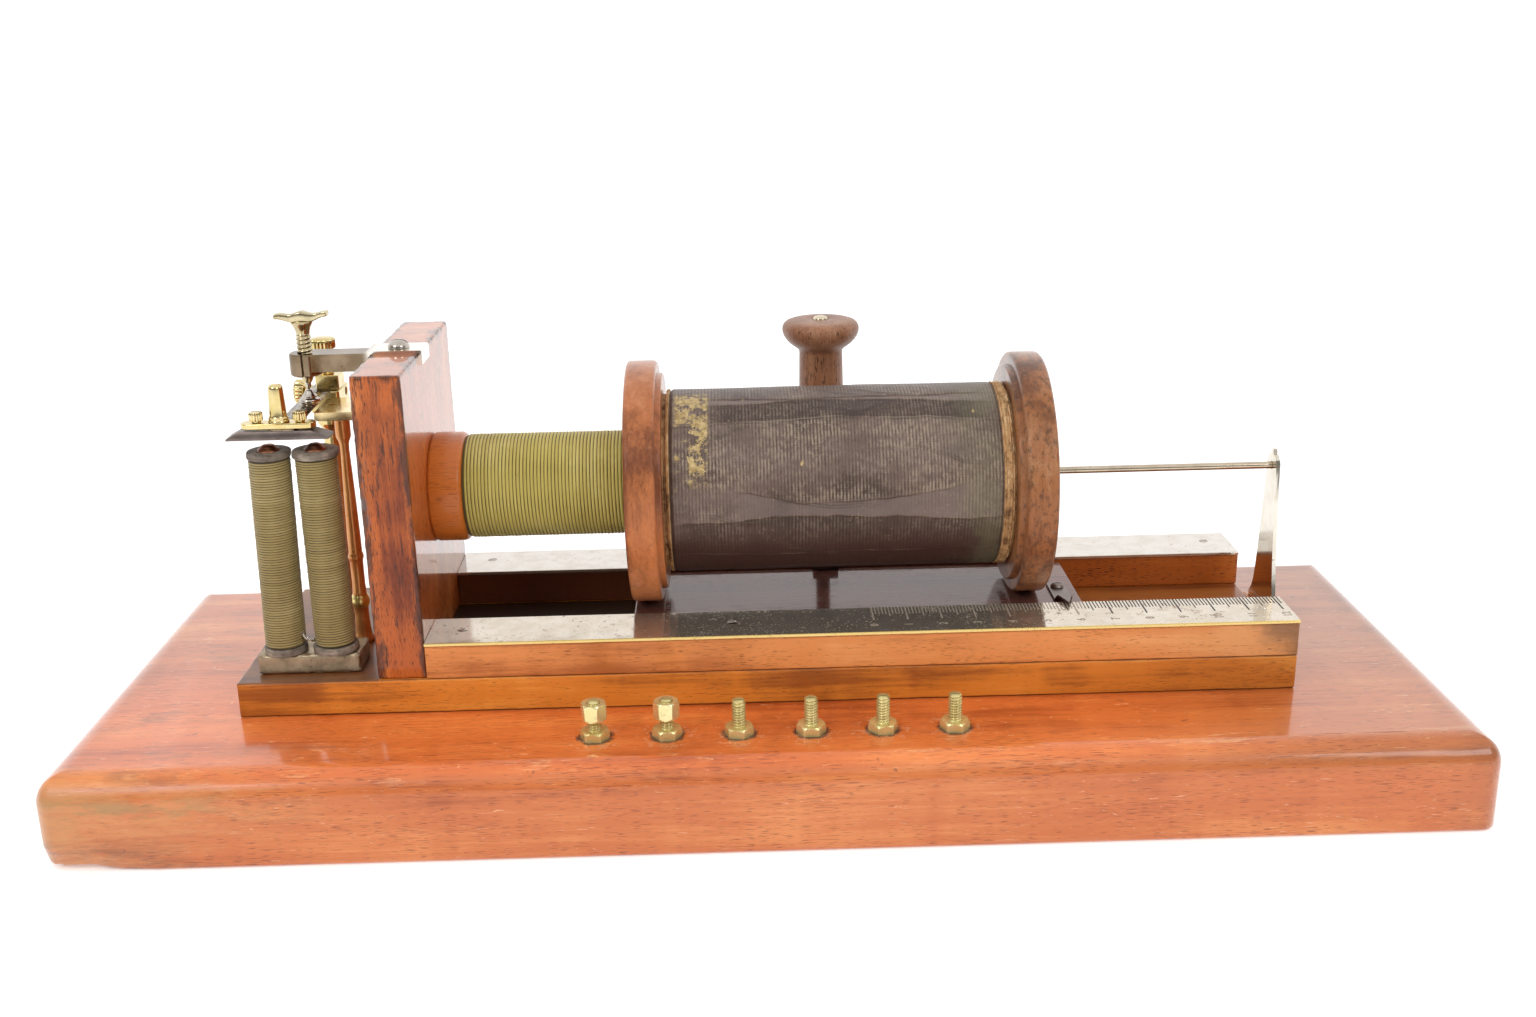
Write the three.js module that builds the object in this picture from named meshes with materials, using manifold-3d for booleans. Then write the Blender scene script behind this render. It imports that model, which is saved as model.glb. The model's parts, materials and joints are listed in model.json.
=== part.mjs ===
// Sledge inductorium: a fixed primary coil, a secondary coil on a sledge between two scaled rails, and a
// hammer interrupter with a two-coil electromagnet. Millimetres, +Z up.
// Origin: centre of the base board's underside. +X runs along the sledge's way, away from the interrupter,
// +Y points to the back.
import * as THREE from 'three';
import { mergeVertices } from 'three/addons/utils/BufferGeometryUtils.js';
import Module from 'manifold-3d';

const wasm = await Module();
wasm.setup();

// ---- driving dimensions ---------------------------------------------------------------------------------
const BASE_L = 398, BASE_D = 148, BASE_H = 27, BASE_ROUND = 8, BASE_CORNER = 5;
const FRAME_X0 = -153, FRAME_X1 = 153, FRAME_Y0 = -36, FRAME_Y1 = 42, FRAME_TOP = 37.5;
const RAIL_W = 18.5, RAIL_TOP = 47.5, STRIP_T = 1, STRIP_LIP = 0.5;
const UP_X0 = -112.5, UP_X1 = -98.5, UP_Y0 = -35.5, UP_Y1 = 41.5, UP_TOP = 126.5;
const AXIS_Y = 3, AXIS_Z = 83.5;                       // common axis of both coils, parallel to X
const PRIM_R = 15.6, PRIM_COLLAR_R = 16.4, PRIM_TUBE_R = 12.8, PRIM_BORE_R = 9.5, PRIM_END = 39;
const SPIGOT_R = 10.2, CORE_R = 9.2;
const SEC_X0 = -40, SEC_X1 = 83, FLANGE_T = 9, FLANGE_R = 36.5, SEC_R = 28, SEC_TUBE_R0 = 18.2,
  SEC_TUBE_R1 = 19.4;
const SLEDGE_X0 = -40, SLEDGE_X1 = 95, SLEDGE_TOP = 47, SLEDGE_PLAY = 0.25, SLEDGE_NOTCH_Y = 20.75;
const HANDLE_X = 19.5, HANDLE_Y = 38, HANDLE_TOP = 125, HANDLE_ROD_R = 2.3,
  HANDLE_ARM_W = 8;
const MAG_X = -133.2, MAG_Y = -25.8, MAG_HALF = 7.25, YOKE_Y = -23.5, YOKE_TOP = 43.5, SPOOL_TOP = 104,
  POLE_TOP = 105.7;
const HAM_X = -135.3, ARM_Z = 107.6, ARM_T = 2.4, LEAF_T = 0.4, LEAF_X = -133.8, LEAF_W = 6.4;
const SCREW_X = -132.4, SCREW_Y = -1.5, SCREW_R = 2.2, HUB_R = 4.65;
const RP_X = -132.6, RP_Y = 19.6;                      // rear spring pillar
const TERM_N = 6, TERM_X0 = -49.2, TERM_PITCH = 20.05, TERM_Y = -55.5, STUD_R = 1.75;

// ---- helpers --------------------------------------------------------------------------------------------
// Merge a geometry's shared vertices and turn its faces outward.
function closed(geo) {
  let g = geo.index ? geo.toNonIndexed() : geo.clone();
  for (const name of Object.keys(g.attributes)) if (name !== 'position') g.deleteAttribute(name);
  g = mergeVertices(g, 1e-3);
  const p = g.attributes.position, ix = Array.from(g.index.array), keep = [];
  let vol = 0;
  const a = new THREE.Vector3(), b = new THREE.Vector3(), c = new THREE.Vector3();
  for (let i = 0; i < ix.length; i += 3) {
    if (ix[i] === ix[i + 1] || ix[i + 1] === ix[i + 2] || ix[i] === ix[i + 2]) continue;
    a.fromBufferAttribute(p, ix[i]); b.fromBufferAttribute(p, ix[i + 1]); c.fromBufferAttribute(p, ix[i + 2]);
    vol += a.dot(b.clone().cross(c));
    keep.push(ix[i], ix[i + 1], ix[i + 2]);
  }
  if (vol < 0) for (let i = 0; i < keep.length; i += 3) [keep[i], keep[i + 1]] = [keep[i + 1], keep[i]];
  g.setIndex(keep);
  return g;
}
function toSolid(geo) {
  const g = closed(geo);
  return new wasm.Manifold(new wasm.Mesh({ numProp: 3,
    vertProperties: new Float32Array(g.attributes.position.array),
      triVerts: new Uint32Array(g.index.array) }));
}
function fromSolid(solid) {
  const m = solid.getMesh(), g = new THREE.BufferGeometry();
  g.setAttribute('position', new THREE.BufferAttribute(new Float32Array(m.vertProperties), 3));
  g.setIndex(Array.from(m.triVerts));
  return g;
}
const cut = (geo, ...tools) => fromSolid(tools.reduce((s, t) => s.subtract(toSolid(t)), toSolid(geo)));
const join = (geo, ...more) => fromSolid(more.reduce((s, t) => s.add(toSolid(t)), toSolid(geo)));
const meet = (geo, other) => fromSolid(toSolid(geo).intersect(toSolid(other)));

// A stack of rings with equal point counts, closed by a fan at each end.
function loft(rings) {
  const n = rings[0].length, pos = [], idx = [];
  for (const ring of rings) for (const p of ring) pos.push(...p);
  const cap = (start, flip) => {
    const c = pos.length / 3;
    let sx = 0, sy = 0, sz = 0;
    for (let i = 0; i < n; i++) { sx += pos[3 * (start + i)]; sy += pos[3 * (start + i) + 1];
    sz += pos[3 * (start + i) + 2]; }
    pos.push(sx / n, sy / n, sz / n);
    for (let i = 0; i < n; i++) {
      const j = (i + 1) % n;
      if (flip) idx.push(c, start + j, start + i); else idx.push(c, start + i, start + j);
    }
  };
  for (let r = 0; r + 1 < rings.length; r++) {
    for (let i = 0; i < n; i++) {
      const j = (i + 1) % n, p = r * n, q = (r + 1) * n;
      idx.push(p + i, p + j, q + j, p + i, q + j, q + i);
    }
  }
  cap(0, true);
  cap((rings.length - 1) * n, false);
  const g = new THREE.BufferGeometry();
  g.setAttribute('position', new THREE.BufferAttribute(new Float32Array(pos), 3));
  g.setIndex(idx);
  return g;
}
// Rounded rectangle in XY at height z, inset on all sides.
function rect(l, d, z, inset, r, n = 1) {
  const out = [], rr = Math.max(r - inset, 0.35), hx = l / 2 - inset - rr, hy = d / 2 - inset - rr;
  for (let c = 0; c < 4; c++) {
    const sx = c === 0 || c === 3 ? 1 : -1, sy = c < 2 ? 1 : -1;
    for (let k = 0; k <= n; k++) {
      const a = (c + k / n) * Math.PI / 2;
      out.push([sx * hx + rr * Math.cos(a), sy * hy + rr * Math.sin(a), z]);
    }
  }
  return out;
}
// Board of length l (X), depth d (Y), height h (Z), standing on z = 0, with small chamfers.
const board = (l, d, h, ch = 0.5) => loft([rect(l, d, 0, ch, ch * 2), rect(l, d, ch, 0, ch * 2),
  rect(l, d, h - ch, 0, ch * 2), rect(l, d, h, ch, ch * 2)]);
const box = (l, d, h) => new THREE.BoxGeometry(l, d, h);
// Turned body about Z from [radius, height] pairs. It is about X when along is 'x'.
function turned(profile, seg = 24, along = 'z') {
  const g = new THREE.LatheGeometry(profile.map(([r, h]) => new THREE.Vector2(Math.max(r, 0), h)), seg);
  if (along === 'z') g.rotateX(Math.PI / 2);
  else g.rotateZ(-Math.PI / 2);
  return g;
}
// Hollow ring between two radii and two heights, edges broken by ch.
const ringBody = (r0, r1, h0, h1, ch, seg, along) => turned([[r0, h0], [r1 - ch, h0], [r1, h0 + ch], [r1,
  h1 - ch],
  [r1 - ch, h1], [r0, h1], [r0, h0]], seg, along);
// Outline in a plane, pushed along its normal. plane 'yz' pushes along X, 'xz' along Y.
function prism(points, depth, plane = 'xy', holes = []) {
  const shape = new THREE.Shape(points.map(([x, y]) => new THREE.Vector2(x, y)));
  for (const h of holes) {
    const path = new THREE.Path();
    path.absarc(h[0], h[1], h[2], 0, Math.PI * 2, true);
    shape.holes.push(path);
  }
  const g = new THREE.ExtrudeGeometry(shape, { depth, bevelEnabled: false, curveSegments: 12 });
  if (plane === 'yz') g.applyMatrix4(new THREE.Matrix4().set(0, 0, 1, 0, 1, 0, 0, 0, 0, 1, 0, 0, 0, 0, 0, 1));
  if (plane === 'xz') g.applyMatrix4(new THREE.Matrix4().set(1, 0, 0, 0, 0, 0, 1, 0, 0, 1, 0, 0, 0, 0, 0, 1));
  return g;
}
function polygon(n, r, phase = 0) {
  return Array.from({ length: n }, (_, i) => {
    const a = phase + i * Math.PI * 2 / n;
    return [r * Math.cos(a), r * Math.sin(a)];
  });
}
// Knurled outline: teeth of equal depth around a circle.
const knurl = (r, teeth, depth) => Array.from({ length: teeth * 2 }, (_, i) => {
  const a = i * Math.PI / teeth, q = i % 2 ? r - depth : r;
  return [q * Math.cos(a), q * Math.sin(a)];
});

// ---- materials ------------------------------------------------------------------------------------------
const finish = (color, roughness, metalness) => () => new THREE.MeshStandardMaterial({ color, roughness,
  metalness });
const mahogany = finish(0xb4502a, 0.3, 0), oak = finish(0xb06a35, 0.45, 0), darkWood = finish(0x4a2a1c,
  0.2, 0);
const turnedWood = finish(0x8a5a3e, 0.45, 0), pear = finish(0xa5603c, 0.4, 0);
const silver = finish(0xcfc6b4, 0.15, 1), brass = finish(0xc29a4a, 0.25, 1), bronze = finish(0x8c5a30,
  0.25, 1);
const iron = finish(0x4f4742, 0.4, 1), rustyIron = finish(0x5d554a, 0.6, 0.6), blued = finish(0x2c2a2a,
  0.35, 1);
const silk = finish(0x9a9440, 0.7, 0), cloth = finish(0x5a4a42, 0.85, 0), card = finish(0xa98252, 0.8, 0);
const ebonite = finish(0x3a332e, 0.4, 0), copper = finish(0x9c5a38, 0.4, 1), steel = finish(0x9b9284, 0.3, 1);

const group = new THREE.Group();
function add(name, geo, material, x = 0, y = 0, z = 0, parent = group) {
  const mesh = new THREE.Mesh(closed(geo), material());
  mesh.name = name;
  mesh.position.set(x, y, z);
  parent.add(mesh);
  return mesh;
}

// ---- base and frame -------------------------------------------------------------------------------------
const termX = (i) => TERM_X0 + i * TERM_PITCH;
{
  const rings = [rect(BASE_L, BASE_D, 0, 0.6, BASE_CORNER, 3), rect(BASE_L, BASE_D, 0.6, 0, BASE_CORNER, 3)];
  for (let k = 0; k <= 6; k++) {
    const a = k * Math.PI / 12;
    rings.push(rect(BASE_L, BASE_D, BASE_H - BASE_ROUND + BASE_ROUND * Math.sin(a),
      BASE_ROUND * (1 - Math.cos(a)), BASE_CORNER, 3));
  }
  const holes = [];
  for (let i = 0; i < TERM_N; i++) {
    holes.push(turned([[0, 14.5], [STUD_R + 0.15, 14.5], [STUD_R + 0.15, 30], [0, 30]],
      12).translate(termX(i), TERM_Y, 0));
  }
  add('base_board', cut(loft(rings), ...holes), mahogany);
}
const FRAME_CX = (FRAME_X0 + FRAME_X1) / 2, FRAME_CY = (FRAME_Y0 + FRAME_Y1) / 2;
add('frame_board', board(FRAME_X1 - FRAME_X0, FRAME_Y1 - FRAME_Y0, FRAME_TOP - BASE_H), oak, FRAME_CX,
  FRAME_CY, BASE_H);
const RAIL_L = FRAME_X1 - UP_X1, RAIL_CX = (FRAME_X1 + UP_X1) / 2;
for (const [side, y] of [['front', FRAME_Y0 + RAIL_W / 2], ['rear', FRAME_Y1 - RAIL_W / 2]]) {
  add(`rail_${side}`, board(RAIL_L, RAIL_W, RAIL_TOP - FRAME_TOP), oak, RAIL_CX, y, FRAME_TOP);
  add(`strip_${side}`, board(RAIL_L, RAIL_W + 2 * STRIP_LIP, STRIP_T, 0.2), silver, RAIL_CX, y, RAIL_TOP);
}

// ---- upright with the socket of the primary spool -------------------------------------------------------
{
  const w = UP_X1 - UP_X0, d = UP_Y1 - UP_Y0, cx = (UP_X0 + UP_X1) / 2, cy = (UP_Y0 + UP_Y1) / 2;
  const socket = turned([[0, -8], [SPIGOT_R, -8], [SPIGOT_R, 8], [0, 8]], 28, 'x')
    .translate(0, AXIS_Y - cy, AXIS_Z - FRAME_TOP);
  const pilot = turned([[0, 80], [1.45, 80], [1.45, 92], [0, 92]], 12).translate(-105 - cx, -2.5 - cy, 0);
  add('upright', cut(board(w, d, UP_TOP - FRAME_TOP, 0.6), socket, pilot), mahogany, cx, cy, FRAME_TOP);
}

// ---- contact arm: strap over the upright, bar, and split hub --------------------------------------------
{
  const strapY0 = -7.2, strapW = 11.4, t = 0.9, barTop = UP_TOP, hubTop = UP_TOP, hubLow = 119.9;
  const strap = prism([[-113.5, barTop - 0.5], [UP_X0, barTop - 0.5], [UP_X0, barTop], [UP_X1, barTop],
    [UP_X1, 123.2], [UP_X1 + t, 123.2],
    [UP_X1 + t, barTop + t - 0.3], [UP_X1 + t - 0.3, barTop + t], [-113.5, barTop + t]], strapW, 'xz')
    .translate(0, strapY0, 0);
  const bar = box(UP_X0 - SCREW_X, 8, barTop - 121.3).translate((UP_X0 + SCREW_X) / 2, SCREW_Y,
    (barTop + 121.3) / 2);
  const hub = turned([[0, hubLow], [HUB_R - 0.4, hubLow], [HUB_R, hubLow + 0.4], [HUB_R, hubTop - 0.4],
    [HUB_R - 0.4, hubTop], [0, hubTop]], 24).translate(SCREW_X, SCREW_Y, 0);
  const bore = turned([[0, 118], [SCREW_R + 0.1, 118], [SCREW_R + 0.1, 128], [0, 128]],
    16).translate(SCREW_X, SCREW_Y, 0);
  const slit = box(0.6, 4, 12).translate(SCREW_X, SCREW_Y - HUB_R, 123);
  const hole = turned([[0, 125], [1.45, 125], [1.45, 129], [0, 129]], 12).translate(-105, -2.5, 0);
  add('contact_arm', cut(join(bar, hub, strap), bore, slit, hole), brass);
}
{
  const head = turned([[0, UP_TOP - 7], [1.35, UP_TOP - 7], [1.35, UP_TOP + 0.9], [3.1, UP_TOP + 0.9],
    [3.1, UP_TOP + 1.5], [2.7, UP_TOP + 2.4], [1.5, UP_TOP + 3.1], [0, UP_TOP + 3.3]], 16).translate(-105,
      -2.5, 0);
  const slot = box(8, 0.8, 2).translate(-105, -2.5, UP_TOP + 3.3);
  add('strap_screw', cut(head, slot), brass);
}

// ---- primary coil ---------------------------------------------------------------------------------------
const coil = new THREE.Group();
coil.position.set(0, AXIS_Y, AXIS_Z);
group.add(coil);
add('primary_spool', turned([[PRIM_BORE_R, UP_X0 + 0.2], [SPIGOT_R - 0.1, UP_X0 + 0.2], [SPIGOT_R - 0.1,
  UP_X1],
  [PRIM_COLLAR_R, UP_X1], [PRIM_COLLAR_R, UP_X1 + 8.6], [PRIM_COLLAR_R - 0.5, UP_X1 + 9.6],
    [PRIM_COLLAR_R - 1.6, UP_X1 + 10],
  [PRIM_TUBE_R, UP_X1 + 10], [PRIM_TUBE_R, PRIM_END], [PRIM_R, PRIM_END], [PRIM_R, PRIM_END + 3.4],
  [PRIM_R - 0.6, PRIM_END + 4], [PRIM_BORE_R, PRIM_END + 4], [PRIM_BORE_R, UP_X0 + 0.2]], 28, 'x'), pear,
    0, 0, 0, coil);
add('primary_winding', ringBody(PRIM_TUBE_R + 0.05, PRIM_R, UP_X1 + 10.05, PRIM_END - 0.05, 0.4, 28, 'x'),
  silk, 0, 0, 0, coil);
{
  const wires = 14, outline = Array.from({ length: wires * 3 }, (_, i) => {
    const a = i * Math.PI * 2 / (wires * 3), q = CORE_R - 0.7 * (i % 3 === 0 ? 1 : 0);
    return [q * Math.cos(a), q * Math.sin(a)];
  });
  add('iron_core', prism(outline, PRIM_END + 4 - (UP_X0 + 0.6), 'yz'), iron, UP_X0 + 0.6, 0, 0, coil);
}
const BRACKET_X = 154.5, BRACKET_T = 1.2;
add('support_rod', turned([[0, PRIM_END + 4], [1.1, PRIM_END + 4], [1.1, BRACKET_X + BRACKET_T], [2,
  BRACKET_X + BRACKET_T],
  [2, BRACKET_X + BRACKET_T + 0.8], [1.1, BRACKET_X + BRACKET_T + 1.3], [0, BRACKET_X + BRACKET_T + 1.4]],
    16, 'x'), steel, 0, 0, 0, coil);

// ---- end cleat and tapered end bracket ------------------------------------------------------------------
add('end_cleat', board(BRACKET_X - FRAME_X1, 29, 10, 0.3), oak, (BRACKET_X + FRAME_X1) / 2, AXIS_Y, BASE_H);
{
  const half = [[12.4, 28], [12.6, 38.5], [10.6, 40.6], [9.2, 43.5], [8.2, 48], [7.2, 54], [6.2, 62], [5.3,
    71],
    [4.6, 79], [4.2, 84], [3.6, 85.9], [2.2, 86.9], [0.9, 87.2], [0.7, 88.6]];
  const outline = [...half.map(([y, z]) => [y, z]), ...half.slice().reverse().map(([y, z]) => [-y, z])];
  add('end_bracket', prism(outline, BRACKET_T, 'yz', [[0, AXIS_Z, 1.25]]), brass, BRACKET_X, AXIS_Y, 0);
}

// ---- electromagnet --------------------------------------------------------------------------------------
add('yoke', board(29.6, 13, YOKE_TOP - FRAME_TOP, 0.4), rustyIron, MAG_X, YOKE_Y, FRAME_TOP);
for (const [side, x] of [['left', MAG_X - MAG_HALF], ['right', MAG_X + MAG_HALF]]) {
  add(`magnet_core_${side}`, turned([[0, YOKE_TOP], [3.15, YOKE_TOP], [3.15, SPOOL_TOP + 0.1], [3,
    SPOOL_TOP + 0.3],
    [1.7, POLE_TOP - 0.2], [1.2, POLE_TOP], [0, POLE_TOP]], 16), copper, x, MAG_Y, 0);
  add(`magnet_spool_${side}`, turned([[3.25, YOKE_TOP], [6.3, YOKE_TOP], [6.5, YOKE_TOP + 0.3], [6.5,
    YOKE_TOP + 1.8],
    [6.2, YOKE_TOP + 2.1], [4, YOKE_TOP + 2.1], [4, SPOOL_TOP - 2], [6.2, SPOOL_TOP - 2], [6.5,
      SPOOL_TOP - 1.6],
    [6.5, SPOOL_TOP - 0.4], [6.1, SPOOL_TOP], [3.25, SPOOL_TOP], [3.25, YOKE_TOP]], 20), ebonite, x, MAG_Y,
      0);
  add(`magnet_winding_${side}`, ringBody(4.05, 5.8, YOKE_TOP + 2.15, SPOOL_TOP - 2.05, 0.3, 20, 'z'), silk,
    x, MAG_Y, 0);
}
{
  const curve = new THREE.CatmullRomCurve3([[-1.35, -1.6, 49], [-0.6, -2.6, 48.5], [0.5, -2.2, 47.6],
    [1.35, -1.2, 47.2]]
    .map(([x, y, z]) => new THREE.Vector3(x, y, z)));
  const wire = new THREE.Shape(polygon(6, 0.35).map(([x, y]) => new THREE.Vector2(x, y)));
  add('link_wire', new THREE.ExtrudeGeometry(wire, { steps: 8, extrudePath: curve, bevelEnabled: false }),
    copper, MAG_X, MAG_Y, 0);
}

// ---- hammer: armature, clamp, post, leaf spring, anvil --------------------------------------------------
const hammer = new THREE.Group();
group.add(hammer);
{
  const y0 = -3.3, y1 = 3.3;
  const low = [[-14.3, y0, 0], [14.3, y0, 0], [14.3, y1, 0], [-14.3, y1, 0]];
  const rim = low.map(([x, y]) => [x, y, 0.5]);
  const top = [[-10.8, y0 + 0.8, ARM_T], [9.3, y0 + 0.8, ARM_T], [9.3, y1 - 0.8, ARM_T], [-10.8, y1 - 0.8,
    ARM_T]];
  add('armature', loft([low, rim, top]), iron, HAM_X, MAG_Y, ARM_Z, hammer);
}
const LEAF_Z = ARM_Z + ARM_T, CLAMP_Z = LEAF_Z + LEAF_T;
{
  const line = [[-28.2, 0], [-21.5, 0], [-5.4, 0.5], [2.4, 0.5], [13.5, 0.9], [26.5, 0.9]];
  const outline = [...line.map(([y, z]) => [y, LEAF_Z + z]), ...line.slice().reverse().map(([y, z]) => [y,
    LEAF_Z + LEAF_T + z])];
  const hole = turned([[0, 100], [1.6, 100], [1.6, 120], [0, 120]],
    12).translate(RP_X - LEAF_X + LEAF_W / 2, RP_Y, 0);
  add('leaf_spring', cut(prism(outline, LEAF_W, 'yz'), hole), blued, LEAF_X - LEAF_W / 2, 0, 0, hammer);
  const clamp = [];
  for (let k = 0; k <= 6; k++) clamp.push([8 + 2.5 * Math.sin(k * Math.PI / 6),
    -2.5 * Math.cos(k * Math.PI / 6)]);
  for (let k = 0; k <= 6; k++) clamp.push([-8 - 2.5 * Math.sin(k * Math.PI / 6),
    2.5 * Math.cos(k * Math.PI / 6)]);
  add('armature_clamp', prism(clamp, 1.7), brass, HAM_X, MAG_Y, CLAMP_Z, hammer);
}
const CLAMP_TOP = CLAMP_Z + 1.7;
for (const [side, x] of [['left', -6.1], ['right', 6.1]]) {
  const body = turned([[0, 0], [1.3, 0], [1.3, 0.5], [1.9, 0.5], [1.9, 2.7], [1.6, 3], [0, 3]], 16);
  add(`clamp_screw_${side}`, meet(body, prism(knurl(1.9, 12, 0.16), 4)), brass, HAM_X + x, MAG_Y,
    CLAMP_TOP, hammer);
}
add('hammer_post', turned([[0, 0], [2.9, 0], [2.9, 0.6], [2.6, 1.5], [2.35, 2.1], [2.05, 9.6], [1.85,
  10.3], [1.2, 10.7],
  [0, 10.8]], 16), brass, HAM_X + 0.2, MAG_Y, CLAMP_TOP, hammer);
const ANVIL_Z = LEAF_Z + LEAF_T + 0.5;
add('anvil', turned([[0, 0], [3.1, 0], [3.1, 0.7], [2.7, 1.1], [2.2, 1.3], [1.9, 2.8], [1.3, 3.8], [1,
  4.6], [0, 4.6]], 16),
  steel, SCREW_X, SCREW_Y, ANVIL_Z, hammer);

// ---- contact screw with its point -----------------------------------------------------------------------
const TIP_Z = ANVIL_Z + 4.65;
{
  const thread = [[0, 117.6], [1.1, 117.6], [1.9, 119.4]];
  for (let z = 119.8; z < 131.9; z += 1.2) thread.push([SCREW_R, z], [SCREW_R - 0.35, z + 0.6]);
  thread.push([2, 132.4], [2.1, 132.9], [2.6, 134], [3.1, 135.4], [3.1, 135.7], [0, 135.7]);
  const body = turned(thread, 16);
  const wing = prism([[-8.4, 136.4], [-8.3, 137.5], [-3.2, 137], [0, 137.6], [3.2, 137.2], [6.2, 138.6],
    [8, 138.9],
    [8.1, 137.6], [6, 137.2], [3.6, 135.9], [2.4, 135.5], [-2.4, 135.5], [-3.6, 135.7]], 3,
      'xz').translate(0, -1.5, 0);
  add('contact_screw', join(body, wing), brass, SCREW_X, SCREW_Y, 0);
}
add('contact_point', turned([[0, TIP_Z], [0.4, TIP_Z], [0.8, TIP_Z + 0.7], [0.8, 117.6], [0, 117.6]], 12),
  steel, SCREW_X, SCREW_Y, 0);

// ---- lower contact arm on its turned pillar -------------------------------------------------------------
const PILLAR_X = -122.9, PILLAR_Y = -5;
add('front_pillar', turned([[0, FRAME_TOP], [3.1, FRAME_TOP], [3.2, 38.6], [2.6, 39.6], [2.3, 42], [2.1,
  46.8], [2.1, 48.6],
  [2.5, 49.2], [2.8, 50.6], [2.6, 52], [2.1, 52.8], [2.1, 54.4], [1.9, 56], [2, 63.6], [2.3, 64.2], [2.3,
    65.2], [1.95, 65.8],
  [1.95, 71], [1.7, 83], [1.25, 98], [1.5, 100.6], [2.2, 101.8], [2.2, 107.5], [0, 107.5]], 14), bronze,
  PILLAR_X, PILLAR_Y, 0);
add('lower_arm', prism([[-130, -8.4], [-117, -8.4], [-116, -7.4], [-116, 9], [-117, 10], [-128.6, 10],
  [-130, 8.6]], 2.5, 'xy',
  [[-127.1, 2.1, 1.1]]), brass, 0, 0, 107.5);

// ---- rear spring pillar, block, clamp, tall nut and cross screw -----------------------------------------
const BLOCK_TOP = LEAF_Z + 0.9, SC_TOP = BLOCK_TOP + LEAF_T + 4.4;
add('rear_pillar', turned([[0, FRAME_TOP], [5, FRAME_TOP], [5, 38.8], [4, 39.8], [3, 41], [2.8, 60], [2.5,
  98], [3.2, 99.4],
  [3.9, 100.2], [3.9, 103.4], [3.4, 104.4], [1.4, 104.4], [1.4, 121], [0, 121]], 16), brass, RP_X, RP_Y, 0);
{
  const z0 = 104.4;
  const body = board(9, 13, BLOCK_TOP - z0, 0.3).translate(0.2, 0, z0);
  const stud = turned([[0, 100], [1.6, 100], [1.6, 120], [0, 120]], 12).translate(0, -1.1, 0);
  const cross = turned([[0, -8], [1.3, -8], [1.3, 8], [0, 8]], 12, 'x').translate(0, 2.9, 108.9);
  add('spring_block', cut(body, stud, cross), brass, RP_X, RP_Y + 1.1, 0);
}
add('spring_clamp', prism([[-2.2, -4.6], [4.8, -4.6], [4.8, 3], [-2.2, 3]], 4.4, 'xy', [[0, 0, 1.6]]),
  brass, RP_X, RP_Y, BLOCK_TOP + LEAF_T);
{
  const body = turned([[1.5, SC_TOP], [2.6, SC_TOP], [2.6, SC_TOP + 1], [2.1, SC_TOP + 1.6], [2.1, 122.4],
    [3.8, 123.2],
    [3.8, 126], [3.4, 126.5], [0, 126.7], [0, 121.4], [1.5, 121.4], [1.5, SC_TOP]], 14);
  add('spring_nut', meet(body, prism(knurl(3.8, 14, 0.25), 20).translate(0, 0, SC_TOP - 2)), brass, RP_X,
    RP_Y, 0);
}
{
  const x0 = -5.2, head = turned([[0, x0 - 5.6], [3.4, x0 - 5.6], [3.8, x0 - 5.2], [3.8, x0 - 2.8], [3.4,
    x0 - 2.4],
    [2, x0 - 2], [2, x0], [1.2, x0], [1.2, 6.2], [0.8, 6.6], [0, 6.6]], 14, 'x');
  const teeth = prism(knurl(3.8, 14, 0.25), 16, 'yz').translate(-12, 0, 0);
  add('cross_screw', meet(head, teeth), brass, RP_X, RP_Y + 4, 108.9);
}

// ---- secondary coil on its sledge -----------------------------------------------------------------------
const sledge = new THREE.Group();
group.add(sledge);
{
  const y0 = FRAME_Y0 + RAIL_W + STRIP_LIP + SLEDGE_PLAY, y1 = FRAME_Y1 - RAIL_W - STRIP_LIP - SLEDGE_PLAY;
  const mx = (SLEDGE_X0 + SLEDGE_X1) / 2, my = (y0 + y1) / 2, mz = FRAME_TOP + SLEDGE_PLAY;
  const plank = board(SLEDGE_X1 - SLEDGE_X0, y1 - y0, SLEDGE_TOP - mz, 0.4);
  const notch = new THREE.BoxGeometry(HANDLE_ARM_W + 0.2, 6, 30)
    .translate(HANDLE_X - mx, SLEDGE_NOTCH_Y + 3 - my, 0);
  add('sledge_board', cut(plank, notch), darkWood, mx, my, mz, sledge);
}
const secondary = new THREE.Group();
secondary.position.set(0, AXIS_Y, AXIS_Z);
sledge.add(secondary);
const flange = (s) => [[SEC_TUBE_R1 + 0.1, 0], [FLANGE_R - 1, 0], [FLANGE_R, 1],
  [FLANGE_R, FLANGE_T - 1], [FLANGE_R - 1, FLANGE_T], [FLANGE_R - 2.2, FLANGE_T],
  [FLANGE_R - 2.4, FLANGE_T + 1.6], [SEC_TUBE_R1 + 0.1, FLANGE_T + 1.6], [SEC_TUBE_R1 + 0.1, 0]].map(([r,
    x]) => [r, s * x]);
add('flange_left', turned(flange(1), 40, 'x'), pear, SEC_X0, 0, 0, secondary);
add('flange_right', turned(flange(-1), 40, 'x'), pear, SEC_X1, 0, 0, secondary);
add('secondary_tube', ringBody(SEC_TUBE_R0, SEC_TUBE_R1, SEC_X0, SEC_X1, 0.2, 30, 'x'), card, 0, 0, 0,
  secondary);
const BODY_X0 = SEC_X0 + FLANGE_T + 3.6, BODY_X1 = SEC_X1 - FLANGE_T - 3.6;
add('end_ring_left', ringBody(SEC_TUBE_R1 + 0.1, SEC_R - 0.4, BODY_X0 - 2, BODY_X0, 0.2, 30, 'x'), card, 0,
  0, 0, secondary);
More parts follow.
